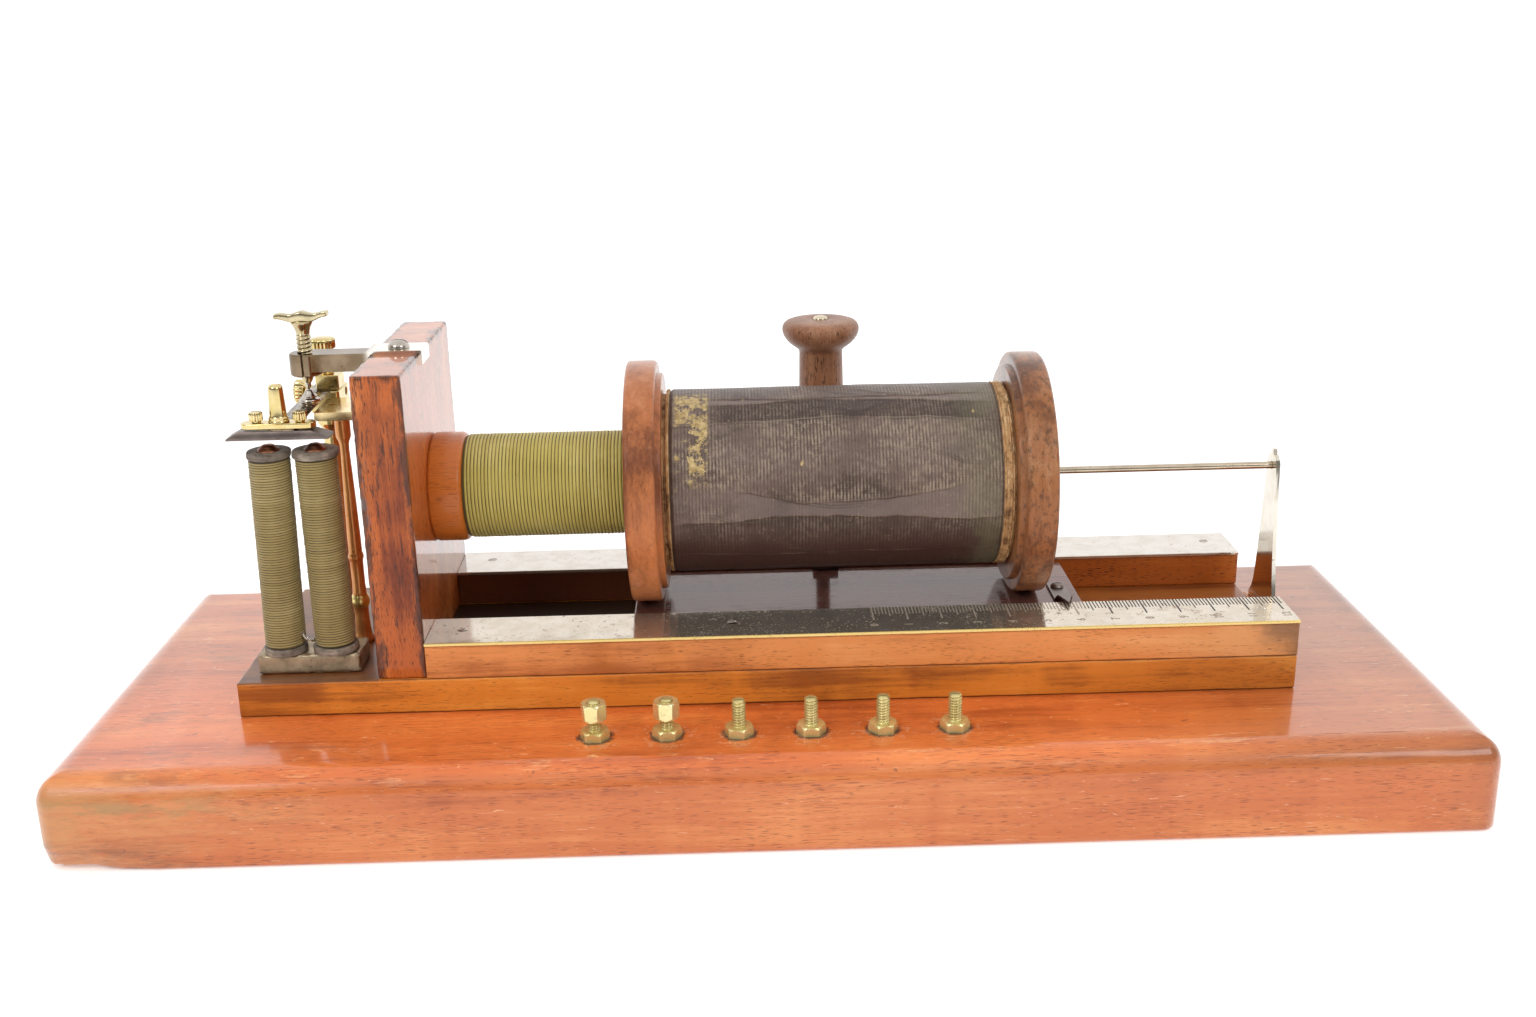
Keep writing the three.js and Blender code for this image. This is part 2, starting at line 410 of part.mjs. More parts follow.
add('end_ring_right', ringBody(SEC_TUBE_R1 + 0.1, SEC_R - 0.4, BODY_X1, BODY_X1 + 2, 0.2, 30, 'x'), card,
  0, 0, 0, secondary);
add('secondary_winding', ringBody(SEC_TUBE_R1 + 0.1, SEC_R - 1.2, BODY_X0 + 0.1, BODY_X1 - 0.1, 0.2, 30,
  'x'), copper, 0, 0, 0, secondary);
add('secondary_cover', ringBody(SEC_R - 1.1, SEC_R, BODY_X0 + 0.1, BODY_X1 - 0.1, 0.3, 30, 'x'), cloth, 0,
  0, 0, secondary);

// ---- handle, pointer ------------------------------------------------------------------------------------
{
  const tab = SLEDGE_NOTCH_Y + 0.1, back = HANDLE_Y + 6;
  const outline = [[tab, 38.2], [tab + 1.8, 38.2], [tab + 1.8, 49], [back - 0.5, 49], [back, 49.5], [back,
    50.6],
    [tab + 1.2, 50.6], [tab, 49.4]];
  const hole = turned([[0, 40], [HANDLE_ROD_R + 0.1, 40], [HANDLE_ROD_R + 0.1, 60], [0, 60]],
    16).translate(HANDLE_ARM_W / 2, HANDLE_Y, 0);
  const arm = cut(prism(outline, HANDLE_ARM_W, 'yz'), hole);
  add('handle_arm', arm, iron, HANDLE_X - HANDLE_ARM_W / 2, 0, 0, sledge);
}
add('handle_rod', turned([[0, 49], [HANDLE_ROD_R, 49], [HANDLE_ROD_R, HANDLE_TOP + 0.3], [1.6,
  HANDLE_TOP + 0.8],
  [0, HANDLE_TOP + 0.9]], 16), brass, HANDLE_X, HANDLE_Y, 0, sledge);
add('handle_grip', turned([[HANDLE_ROD_R + 0.1, 97], [5.4, 97], [6.6, 97.6], [7.05, 99], [6.8, 115.4],
  [8.2, 116.4], [10, 117.8],
  [11.4, 119.6], [12.1, 121.6], [12, 123], [11.2, 124.1], [9.6, 124.7], [6, 125], [HANDLE_ROD_R + 0.1, 125],
  [HANDLE_ROD_R + 0.1, 97]], 24), turnedWood, HANDLE_X, HANDLE_Y, 0, sledge);
{
  const x = 89.2, z = SLEDGE_TOP, t = 0.8;
  const side = [[1.5, z], [1.5, z + t], [-12.2, z + t], [-14.4, z + 2.9], [-21.6, z + 2.9], [-21.6,
    z + 2.1], [-14.1, z + 2.1],
    [-11.9, z]];
  const plan = prism([[-2.6, 2], [-2.6, -13], [0, -21], [2.6, -13], [2.6, 2]], 6).translate(2.6, 0, z - 1);
  const hole = turned([[0, 40], [1.1, 40], [1.1, 60], [0, 60]], 12).translate(2.6, -2.2, 0);
  add('pointer', cut(meet(prism(side, 5.2, 'yz'), plan), hole), steel, x - 2.6, 0, 0, sledge);
  const screw = turned([[0, z], [1, z], [1, z + t], [2, z + t], [2, z + t + 0.3], [1.5, z + t + 1.1], [0,
    z + t + 1.4]], 16);
  add('pointer_screw', cut(screw, box(5, 0.6, 1).translate(0, 0, z + t + 1.4)), iron, x, -2.2, 0, sledge);
}

// ---- terminals ------------------------------------------------------------------------------------------
const hexRing = (r, z) => Array.from({ length: 12 }, (_, i) => {
  const a = i * Math.PI / 6, q = i % 2 ? r * Math.cos(Math.PI / 6) : r;
  return [q * Math.cos(a), q * Math.sin(a), z];
});
const roundRing = (r, z) => Array.from({ length: 12 }, (_, i) => [r * Math.cos(i * Math.PI / 6),
  r * Math.sin(i * Math.PI / 6), z]);
for (let i = 0; i < TERM_N; i++) {
  const top = i < 2 ? 38.4 : 37.6;
  add(`terminal_${i + 1}`, loft([roundRing(STUD_R, 15), roundRing(STUD_R, BASE_H), hexRing(4, BASE_H),
    hexRing(4, BASE_H + 2.7),
    roundRing(3.3, BASE_H + 3.2), roundRing(STUD_R, BASE_H + 3.2), roundRing(STUD_R, top - 0.7),
      roundRing(1.3, top - 0.2),
    roundRing(0.5, top)]), brass, termX(i), TERM_Y, 0);
}
for (let i = 0; i < 2; i++) {
  add(`clamp_nut_${i + 1}`, prism(polygon(6, 3.5, Math.PI / 6), 6.2, 'xy', [[0, 0, STUD_R + 0.14]]), brass,
    termX(i), TERM_Y, 31.4);
}

export default group;
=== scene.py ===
"""Looks of a sledge inductorium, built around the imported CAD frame. Metres, +Z up."""
import json
import math

import bmesh
import bpy
import numpy as np
from mathutils import Matrix, Vector, noise

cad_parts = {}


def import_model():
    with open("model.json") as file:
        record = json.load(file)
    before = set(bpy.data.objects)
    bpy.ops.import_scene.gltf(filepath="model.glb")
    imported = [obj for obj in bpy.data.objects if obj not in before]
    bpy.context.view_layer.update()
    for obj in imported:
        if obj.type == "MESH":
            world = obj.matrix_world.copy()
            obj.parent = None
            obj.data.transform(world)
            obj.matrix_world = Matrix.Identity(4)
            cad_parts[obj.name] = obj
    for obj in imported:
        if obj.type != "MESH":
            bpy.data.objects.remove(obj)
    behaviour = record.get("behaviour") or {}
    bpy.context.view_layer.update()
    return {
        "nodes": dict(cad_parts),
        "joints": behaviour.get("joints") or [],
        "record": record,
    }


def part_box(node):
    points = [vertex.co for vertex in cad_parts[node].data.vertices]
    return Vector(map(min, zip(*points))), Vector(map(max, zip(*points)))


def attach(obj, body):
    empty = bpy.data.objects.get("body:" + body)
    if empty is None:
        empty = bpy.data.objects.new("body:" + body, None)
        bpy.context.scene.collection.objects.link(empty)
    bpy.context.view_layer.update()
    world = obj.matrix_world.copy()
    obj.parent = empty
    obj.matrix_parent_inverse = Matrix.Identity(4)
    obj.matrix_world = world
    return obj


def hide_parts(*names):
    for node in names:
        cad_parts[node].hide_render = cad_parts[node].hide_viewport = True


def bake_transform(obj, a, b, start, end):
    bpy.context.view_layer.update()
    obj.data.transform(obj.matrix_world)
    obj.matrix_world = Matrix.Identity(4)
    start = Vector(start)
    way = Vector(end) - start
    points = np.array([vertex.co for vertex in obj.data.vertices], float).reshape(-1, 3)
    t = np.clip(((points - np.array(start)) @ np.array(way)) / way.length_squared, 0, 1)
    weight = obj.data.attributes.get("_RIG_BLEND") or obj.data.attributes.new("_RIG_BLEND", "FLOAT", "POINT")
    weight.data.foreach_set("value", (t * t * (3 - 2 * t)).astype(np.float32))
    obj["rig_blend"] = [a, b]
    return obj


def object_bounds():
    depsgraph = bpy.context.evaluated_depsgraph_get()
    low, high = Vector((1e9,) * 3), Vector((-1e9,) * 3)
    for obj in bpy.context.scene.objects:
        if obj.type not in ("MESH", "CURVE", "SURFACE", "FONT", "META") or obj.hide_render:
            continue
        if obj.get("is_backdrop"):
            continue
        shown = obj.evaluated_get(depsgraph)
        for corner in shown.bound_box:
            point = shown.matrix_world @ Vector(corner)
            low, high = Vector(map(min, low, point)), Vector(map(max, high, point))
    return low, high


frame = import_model()

MM = 0.001
TAU = 2 * math.pi
# from turn to turn of the covered wire, in millimetres, and how deep the gap between two turns is
PRIMARY_PITCH, PRIMARY_GAP = 1.03, 0.46
MAGNET_PITCH, MAGNET_GAP = 0.77, 0.34
BODY_OF = {n: b for b, ns in frame["record"]["behaviour"]["bodies"].items() for n in ns}


def box(node):
    """Lowest corner, highest corner and centre of a CAD node, in millimetres."""
    lo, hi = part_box(node)
    return np.array(lo) / MM, np.array(hi) / MM, (np.array(lo) + np.array(hi)) / 2 / MM


# ---- objects and meshes ----
def place(name, data):
    ob = bpy.data.objects.new(name, data)
    bpy.context.scene.collection.objects.link(ob)
    return ob


def mesh_of(name, verts, faces):
    """A mesh from vertices in millimetres."""
    me = bpy.data.meshes.new(name)
    me.from_pydata([tuple(c * MM for c in v) for v in verts], [], faces)
    return me


def edit(me, *steps):
    """Runs steps on the mesh as a bmesh."""
    bm = bmesh.new()
    bm.from_mesh(me)
    for step in steps:
        step(bm)
    bm.to_mesh(me)
    bm.free()


def weld(dist):
    return lambda bm: bmesh.ops.remove_doubles(bm, verts=bm.verts, dist=dist)


def outward(bm):
    bmesh.ops.recalc_face_normals(bm, faces=bm.faces)


def soften(me, angle):
    """Smooth shading, with edges steeper than the angle left sharp."""
    me.shade_smooth()
    me.set_sharp_from_angle(angle=math.radians(angle))


def bake(ob, angle):
    """Makes an object's modifiers part of its mesh."""
    bpy.context.view_layer.update()
    done = bpy.data.meshes.new_from_object(ob.evaluated_get(bpy.context.evaluated_depsgraph_get()))
    soften(done, angle)
    ob.modifiers.clear()
    ob.data = done


def solid(name, pair, mat, sharp=32):
    """An object from a (vertices, faces) pair in millimetres."""
    me = mesh_of(name, *pair)
    me.validate()
    edit(me, weld(1e-7), outward)
    soften(me, sharp)
    me.materials.append(mat)
    return place(name, me)


def stand_for(ob, node, ride=True):
    """Replaces a CAD node and rides on its body."""
    if ride:
        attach(ob, BODY_OF[node])
    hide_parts(node)
    return ob


def look(node, pair, mat, sharp=32):
    return stand_for(solid(node + "_look", pair, mat, sharp), node)


def refine(node, mat, bevel, segs=3, ride=True):
    """A copy of a CAD node's own shape with its facets merged and its edges eased."""
    angle = 30

    def flatten(bm):
        bmesh.ops.dissolve_limit(bm, angle_limit=math.radians(0.6), verts=bm.verts, edges=bm.edges)

    me = frame["nodes"][node].data.copy()
    me.name = node + "_look"
    edit(me, weld(2e-6), flatten, outward)
    for name in [a.name for a in me.attributes if a.name.startswith(("custom_normal", "sharp"))]:
        me.attributes.remove(me.attributes[name])
    soften(me, angle)
    me.materials.clear()
    me.materials.append(mat)
    ob = place(node + "_look", me)
    ease = ob.modifiers.new("ease", "BEVEL")
    ease.width, ease.segments, ease.limit_method = bevel * MM, segs, "ANGLE"
    ease.angle_limit = math.radians(angle)
    ease.use_clamp_overlap = ease.harden_normals = True
    return stand_for(ob, node, ride)


def paint(ob, name, values):
    """Stores one number per vertex for the material to read."""
    a = ob.data.attributes.new(name, "FLOAT", "POINT")
    a.data.foreach_set("value", np.asarray(values, dtype=np.float32))


def slotted(ob, lo, hi):
    """Cuts a screwdriver slot out of a head: a box in millimetres."""
    cutter = mesh_of("cutter", *worn_box(lo, hi, 0.01, 50))
    edit(cutter, outward)
    tool = place("cutter", cutter)
    cut = ob.modifiers.new("slot", "BOOLEAN")
    cut.object, cut.operation, cut.solver = tool, "DIFFERENCE", "EXACT"
    name = ob.data.name
    bake(ob, 32)
    ob.data.name = name + "_cut"
    bpy.data.objects.remove(tool)


def slot_across(ob, c, long, wide, z0, z1):
    """A slot along X through the axis at c, from height z0 up to z1."""
    slotted(ob, (c[0] - long, c[1] - wide, z0), (c[0] + long, c[1] + wide, z1))


# ---- shapes: (vertices, faces) pairs in millimetres ----
def merge(*parts):
    """Joins (vertices, faces) pairs into one pair."""
    verts, faces = [], []
    for v, f in parts:
        base = len(verts)
        verts += [tuple(p) for p in v]
        faces += [tuple(i + base for i in q) for q in f]
    return verts, faces


def turn_axis(points, axis, at):
    """Points made about +Z, turned so that +Z becomes the named axis, then moved to at."""
    p = np.asarray(points, float)
    if axis == "x":
        p = p[:, [2, 0, 1]]
    return p + np.asarray(at, float)


def angles(seg):
    return np.arange(seg) * TAU / seg


def ring(r, z, a):
    """Points at the angles a and height z; r is one radius or one for each angle."""
    r = np.broadcast_to(r, a.shape)
    return list(zip(r * np.cos(a), r * np.sin(a), np.full(a.shape, float(z))))


def sheet_faces(rows, cols):
    """Quads between closed rings of vertices that follow each other."""
    return [(i * cols + j, i * cols + k, (i + 1) * cols + k, (i + 1) * cols + j)
            for i in range(rows - 1) for j, k in neighbours(cols)]


def neighbours(seg):
    """Each place on a closed ring, with the next one."""
    return [(j, (j + 1) % seg) for j in range(seg)]


def revolve(profile, seg=64, axis="z", at=(0, 0, 0), radius=None):
    """A turned body. profile is (r, z) pairs; radius(r, z, angle) may change r, as a knurl or wear does."""
    a = angles(seg)
    rings, verts = [], []
    for r, z in profile:
        pole = r < 1e-6
        rings.append((len(verts), pole))
        verts += [(0, 0, z)] if pole else ring(radius(r, z, a) if radius else r, z, a)
    faces = []
    for (s, low_pole), (t, high_pole) in zip(rings[:-1], rings[1:]):
        for j, k in neighbours(seg):
            if low_pole and not high_pole:
                faces.append((s, t + k, t + j))
            elif high_pole and not low_pole:
                faces.append((s + j, s + k, t))
            elif not low_pole:
                faces.append((s + j, s + k, t + k, t + j))
    return turn_axis(verts, axis, at), faces


def raised(profile, z, way=1):
    """A profile whose heights are counted from z, upwards or (way -1) downwards."""
    return [(r, z + way * h) for r, h in profile]


def turned(node, profile, mat, sharp=40, seg=56, axis="z", radius=None):
    """A turned look of a CAD node: profile is (radius, height over the node's low end) pairs."""
    lo, _, at = box(node)
    along_axis = "xyz".index(axis)
    at[along_axis] = 0
    return look(node, revolve(raised(profile, lo[along_axis]), seg, axis, at, radius), mat, sharp)


def length_of(node, axis="z"):
    lo, hi, _ = box(node)
    return (hi - lo)["xyz".index(axis)]


def knurl(rim, teeth, depth):
    """For turned(): teeth cut into the outermost part of a knob with this rim radius."""
    def radius(r, z, a):
        bite = np.clip((r - 0.86 * rim) / (0.1 * rim), 0, 1)
        return r - depth * bite * (0.5 - 0.5 * np.cos(a * teeth)) ** 0.7

    return radius


def fillet(before, corner, after, cut):
    """Points of a corner of a profile, rounded off over a length of cut to each side."""
    p, a, b = (np.array(q, float) for q in (corner, before, after))
    u, v = (a - p) / np.linalg.norm(a - p), (b - p) / np.linalg.norm(b - p)
    return [tuple(p + u * cut * (1 - t) ** 2 + v * cut * t ** 2) for t in np.linspace(0, 1, 6)]


def helix_skin(r, z0, z1, pitch, depth, seg=64, per=8, axis="z", at=(0, 0, 0), shape="wire", jitter=0.0,
               seed=0, fade=1.0, bore=0.0):
    """Close turns round a bore: the radius rises and falls with height and turns with the angle."""
    rng = np.random.default_rng(seed)
    rows = max(8, int((z1 - z0) / pitch * per))
    a = angles(seg)
    turns = int((z1 - z0) / pitch) + 3
    wobble = rng.normal(0, jitter, turns)
    verts = []
    for z in np.linspace(z0, z1, rows + 1):
        t = (z - z0) / pitch - a / TAU
        k = np.clip(np.floor(t).astype(int) + 1, 0, turns - 1)
        f = t - np.floor(t)
        if shape == "wire":
            w = np.sqrt(np.clip(1 - (2 * f - 1) ** 2, 0, 1))
        else:
            w = np.clip(1.25 - 2.5 * np.abs(f - 0.5), 0, 1)
        ease = min(1, (z - z0) / (pitch * fade) + 0.02, (z1 - z) / (pitch * fade) + 0.02)
        verts += ring(r - depth + depth * w * ease + wobble[k] * w, z, a)
    faces = sheet_faces(rows + 1, seg)
    inner, last = len(verts), rows * seg
    verts += ring(bore, z0, a) + ring(bore, z1, a) if bore else [(0, 0, z0), (0, 0, z1)]
    for j, k in neighbours(seg):
        if bore:
            low_j, low_k, high_j, high_k = inner + j, inner + k, inner + seg + j, inner + seg + k
            faces += [(low_k, k, j, low_j), (high_j, last + j, last + k, high_k),
                      (low_k, low_j, high_j, high_k)]
        else:
            faces += [(inner, k, j), (inner + 1, last + j, last + k)]
    return turn_axis(verts, axis, at), faces


def hex_body(r, z0, z1, bore, chamfer, at, turn, lower=False):
    """A hexagon nut with the rounded chamfer that a lathe leaves on its corners."""
    a = angles(96)
    flat = r * math.cos(math.pi / 6)
    hexagon = flat / np.cos((a + turn) % (TAU / 6) - TAU / 12)
    round_end = np.minimum(hexagon, flat * 1.01)

    def eased(t):
        return (r - flat) * chamfer * t * 2, np.minimum(hexagon, flat * 1.01 + (r - flat) * t)

    h = z1 - z0
    quarters = (0.25, 0.5, 0.75, 1.0)
    steps = [(0.0, round_end if lower else hexagon)]
    if lower:
        steps += [eased(t) for t in quarters]
    for t in quarters[::-1]:
        drop, radii = eased(t)
        steps.append((h - drop, radii))
    steps += [(h, round_end), (h, bore + 0.15), (h - 0.15, bore), (0.1, bore), (0, bore + 0.1),
              (0, steps[0][1])]
    verts = []
    for z, radii in steps:
        verts += ring(radii, z0 + z, a)
    return turn_axis(verts, "z", at), sheet_faces(len(steps), len(a))


def worn_box(lo, hi, r=0.5, step=3.0, wear=0.0, scale=0.25, seed=0.0):
    """A block whose edges are rounded by r, and more where wear has taken them, with noise along each edge."""
    lo, hi = np.asarray(lo, float), np.asarray(hi, float)
    big = r * (1 + 2.2 * wear)
    lines = []
    for d in range(3):
        size = hi[d] - lo[d]
        edge = [big * t for t in (0, 0.2, 0.4, 0.6, 0.8, 1.0)]
        n = max(1, int((size - 2 * big) / step))
        middle = list(np.linspace(big, size - big, n + 1))[1:-1]
        lines.append(np.array(edge + middle + [size - e for e in reversed(edge)]) + lo[d])
    verts, faces, index = [], [], {}

    def vertex(p):
        key = tuple(round(c, 5) for c in p)
        if key not in index:
            index[key] = len(verts)
            q = Vector((p[0] * scale + seed, p[1] * scale, p[2] * scale))
            rr = r * (1 + wear * max(0.0, min(2.2, 1.1 + 1.9 * noise.fractal(q, 0.8, 2.0, 4))))
            c = np.clip(p, lo + rr, hi - rr)
            d = p - c
            far = np.linalg.norm(d)
            verts.append(tuple(c + d / far * np.abs(d).max()) if far > 1e-9 else tuple(p))
        return index[key]

    for d in range(3):
        e, f = [i for i in range(3) if i != d]
        for side in (0, -1):
            for i in range(len(lines[e]) - 1):
                for j in range(len(lines[f]) - 1):
                    quad = []
                    for u, v in ((i, j), (i + 1, j), (i + 1, j + 1), (i, j + 1)):
                        p = np.zeros(3)
                        p[d], p[e], p[f] = lines[d][side], lines[e][u], lines[f][v]
                        quad.append(vertex(p))
                    faces.append(tuple(quad))
    return verts, faces


def tube(path, r, seg):
    """A round wire along a list of points, with domed ends."""
    p = [Vector(q) for q in path]
    verts = []
    for i, c in enumerate(p):
        t = (p[min(i + 1, len(p) - 1)] - p[max(i - 1, 0)]).normalized()
        s = t.cross(Vector((0, 0, 1) if abs(t.z) < 0.95 else (1, 0, 0))).normalized()
        w = t.cross(s).normalized()
        verts += [tuple(c + (s * math.cos(a) + w * math.sin(a)) * r) for a in angles(seg)]
    faces = sheet_faces(len(p), seg)
    for end, before in ((0, 1), (len(p) - 1, len(p) - 2)):
        tip = len(verts)
        verts.append(tuple(p[end] + (p[end] - p[before]).normalized() * r * 0.5))
        for j, k in neighbours(seg):
            faces.append((tip, end * seg + j, end * seg + k) if end else (tip, k, j))
    return verts, faces


def spline(points, steps=8):
    """A smooth curve through the points."""
    p = [np.array(q, float) for q in points]
    p = [2 * p[0] - p[1]] + p + [2 * p[-1] - p[-2]]
    out = []
    for a, b, c, d in zip(p, p[1:], p[2:], p[3:]):
        for t in np.arange(steps) / steps:
            out.append(0.5 * (2 * b + (c - a) * t + (2 * a - 5 * b + 4 * c - d) * t * t
                              + (3 * b - a - 3 * c + d) * t ** 3))
    return out + [p[-2]]


# ---- materials ----
class Field:
    """A value in a node tree; arithmetic on it adds math nodes."""

    __array_ufunc__ = None

    def __init__(self, shade, socket):
        self.shade, self.socket = shade, socket

    def __add__(self, other):
        return self.shade.math("ADD", self, other)

    def __sub__(self, other):
        return self.shade.math("SUBTRACT", self, other)

    def __rsub__(self, other):
        return self.shade.math("SUBTRACT", other, self)

    def __mul__(self, other):
        return self.shade.math("MULTIPLY", self, other)

    def __abs__(self):
        return self.shade.math("ABSOLUTE", self)


class Shade:
    """A node material: small calls that return fields."""

    def __init__(self, name):
        self.mat = bpy.data.materials.new(name)
        self.mat.use_nodes = True
        self.tree = self.mat.node_tree
        self.tree.nodes.clear()
        out = self.add("ShaderNodeOutputMaterial")
        self.bsdf = self.add("ShaderNodeBsdfPrincipled")
        self.tree.links.new(self.bsdf.outputs[0], out.inputs[0])
        self.co = self.add("ShaderNodeTexCoord").outputs["Object"]

    def add(self, kind, **props):
        n = self.tree.nodes.new(kind)
        for k, v in props.items():
            setattr(n, k, v)
        return n

    def put(self, socket, value):
        """Links a field, or writes a number or a colour, into a socket."""
        if isinstance(value, Field):
            self.tree.links.new(value.socket, socket)
        elif hasattr(value, "__len__") and socket.type == "RGBA":
            socket.default_value = (*value[:3], 1)
        else:
            socket.default_value = value

    def painted(self, name):
        return Field(self, self.add("ShaderNodeAttribute", attribute_name=name).outputs["Fac"])

    def facing(self):
        n = self.add("ShaderNodeLayerWeight")
        self.put(n.inputs["Blend"], 0.5)
        return Field(self, n.outputs["Facing"])

    def noise(self, scale, detail=3, rough=0.55, shift=(0, 0, 0), warp=0.0):
        """Noise over the object; scale is one number, or one for each axis."""
        at = self.add("ShaderNodeMapping")
        self.tree.links.new(self.co, at.inputs[0])
        at.inputs["Scale"].default_value = scale if hasattr(scale, "__len__") else (scale,) * 3
        at.inputs["Location"].default_value = shift
        n = self.add("ShaderNodeTexNoise")
        self.tree.links.new(at.outputs[0], n.inputs["Vector"])
        for k, v in (("Scale", 1), ("Detail", detail), ("Roughness", rough), ("Distortion", warp)):
            n.inputs[k].default_value = v
        return Field(self, n.outputs["Fac"])

    def math(self, op, *values, clamp=False):
        n = self.add("ShaderNodeMath", operation=op, use_clamp=clamp)
        for socket, v in zip(n.inputs, values):
            self.put(socket, v)
        return Field(self, n.outputs[0])

    def min(self, a, b):
        return self.math("MINIMUM", a, b)

    def max(self, a, b):
        return self.math("MAXIMUM", a, b)

    def sin(self, v):
        return self.math("SINE", v)

    def clamp(self, v):
        return self.math("ADD", v, 0, clamp=True)

    def step(self, v, lo, hi):
        """0 below lo, 1 above hi, smooth between; hi may be below lo."""
        n = self.add("ShaderNodeMapRange", interpolation_type="SMOOTHSTEP")
        self.put(n.inputs["Value"], v)
        n.inputs["From Min"].default_value, n.inputs["From Max"].default_value = sorted((lo, hi))
        if lo >= hi:
            n.inputs["To Min"].default_value, n.inputs["To Max"].default_value = 1, 0
        return Field(self, n.outputs[0])

    def step_mm(self, v, lo, hi):
        return self.step(v, lo * MM, hi * MM)

    def ramp(self, v, *stops):
        """Colours at rising values."""
        n = self.add("ShaderNodeValToRGB")
        n.color_ramp.interpolation = "EASE"
        e = n.color_ramp.elements
        while len(e) < len(stops):
            e.new(0.5)
        for element, (pos, colour) in zip(e, stops):
            element.position, element.color = pos, (*colour, 1)
        self.put(n.inputs[0], v)
        return Field(self, n.outputs[0])

    def mix(self, share, a, b, mode="MIX"):
        n = self.add("ShaderNodeMix", data_type="RGBA", blend_type=mode)
        for i, v in ((0, share), (6, a), (7, b)):
            self.put(n.inputs[i], v)
        return Field(self, n.outputs[2])

    def tinted(self, share, colour, tint):
        """The colour, multiplied by the tint where share is 1."""
        return self.mix(share, colour, self.mix(1.0, colour, tint, "MULTIPLY"))

    def axes(self):
        n = self.add("ShaderNodeSeparateXYZ")
        self.tree.links.new(self.co, n.inputs[0])
        return [Field(self, socket) for socket in n.outputs]

    def swayed(self, middle, *layers):
        """A value about the middle, moved by (noise, amount) layers."""
        for layer, amount in layers:
            middle = (layer - 0.5) * amount + middle
        return middle

    def bump(self, height, strength, distance, after=None):
        n = self.add("ShaderNodeBump")
        self.put(n.inputs["Height"], height)
        self.put(n.inputs["Strength"], strength)
        self.put(n.inputs["Distance"], distance * MM)
        if after:
            self.put(n.inputs["Normal"], after)
        return Field(self, n.outputs[0])

    def done(self, **sockets):
        for k, v in sockets.items():
            self.put(self.bsdf.inputs[k.replace("_", " ")], v)
        return self.mat


def dim(colour, share):
    return tuple(c * share for c in colour)


def along(axis, a, b):
    """A scale vector: a along the grain, b across it."""
    return tuple(a if k == axis else b for k in "xyz")


def wood(name, dark, mid, light, grain="x", pores=0.5, pore_tone=0.25, coat=1.0, coat_rough=0.06, rough=0.45,
         seed=0.0, figure=1.0, extra=None, ior=1.5, pore_len=300, pore_w=3400, spec=0.3, tint=None, front=0.38,
         pore_lim=0.78, ripple=0.12, fibre_bump=0.35):
    """Polished wood: broad tone, long streaks, ribbon figure, fine fibres and dark pores, under a coat."""
    s = Shade(name)
    sh = (seed, seed * 0.7, seed * 0.3)
    streak = s.noise(along(grain, 7, 95), 5, 0.6, sh, 0.3)
    broad = s.noise(along(grain, 9, 24), 3, 0.5, sh)
    fibre = s.noise(along(grain, 40, 1100), 3, 0.6, sh)
    ribbon = s.noise(along(grain, 60, 22), 2, 0.5, sh, 0.8)
    v = s.swayed(0.5, (streak, 0.75 * figure), (broad, 0.7 * figure), (fibre, 0.35), (ribbon, 0.25 * figure))
    col = s.ramp(v, (0.2, dark), (0.5, mid), (0.82, light))
    holes = s.noise(along(grain, pore_len, pore_w), 1, 0.4, sh)
    patch = s.noise(along(grain, 30, 120), 2, 0.5, sh)
    lim = patch * -0.3 + pore_lim
    pore = s.step(holes - lim, -0.02, 0.06) * pores
    col = s.mix(pore, col, dim(dark, pore_tone))
    nrm = s.bump(fibre * 0.25 - pore, fibre_bump, 0.12)
    wave = s.noise(38, 2, 0.4, sh)
    shine = s.bump(wave, ripple, 0.5)
    shine = s.bump(pore * -1, ripple * 1.2, 0.05, shine)
    crough = s.noise(55, 4, 0.6, sh) * 0.14 + (coat_rough - 0.05)
    if extra:
        col, crough = extra(s, col, crough)
    weight = s.step(s.facing(), 0.1, 0.72) * ((1 - front) * coat) + front * coat
    if tint:
        s.done(Specular_Tint=tint, IOR=ior)
    return s.done(Base_Color=col, Roughness=rough, Specular_IOR_Level=spec, Normal=nrm, Coat_Weight=weight,
                  Coat_IOR=ior, Coat_Roughness=crough, Coat_Normal=shine)


def metal(name, tone, worn, rough, spots, spot_tone, seed, bump, dirt=0.0, metallic=1.0, brush=2600,
          extra=None):
    """Old metal: two tones, tarnish spots, fine rubbed scratches."""
    s = Shade(name)
    sh = (seed, seed, seed)
    cloud = s.noise(160, 4, 0.6, sh)
    col = s.mix(s.step(cloud, 0.35, 0.7), tone, worn)
    speck = s.step(s.noise(900, 3, 0.55, sh), 0.6, 0.72)
    speck = speck * s.step(s.noise(110, 2, 0.5, sh), 0.42, 0.62)
    col = s.mix(speck * spots, col, spot_tone)
    if dirt:
        col = s.mix(s.step(s.noise(260, 3, 0.6, (seed + 3, 0, 0)), 0.45, 0.75) * dirt, col, dim(tone, 0.25))
    fine = s.noise(brush, 2, 0.5, sh)
    r = cloud * 0.16 + (rough - 0.08)
    r = speck * (0.3 * spots) + r
    nrm = s.bump(fine, bump, 0.02)
    nrm = s.bump(s.noise(420, 2, 0.5, sh), bump, 0.12, nrm)
    if extra:
        col, r, metallic = extra(s, col, r, metallic)
    return s.done(Base_Color=col, Metallic=metallic, Roughness=r, Normal=nrm)


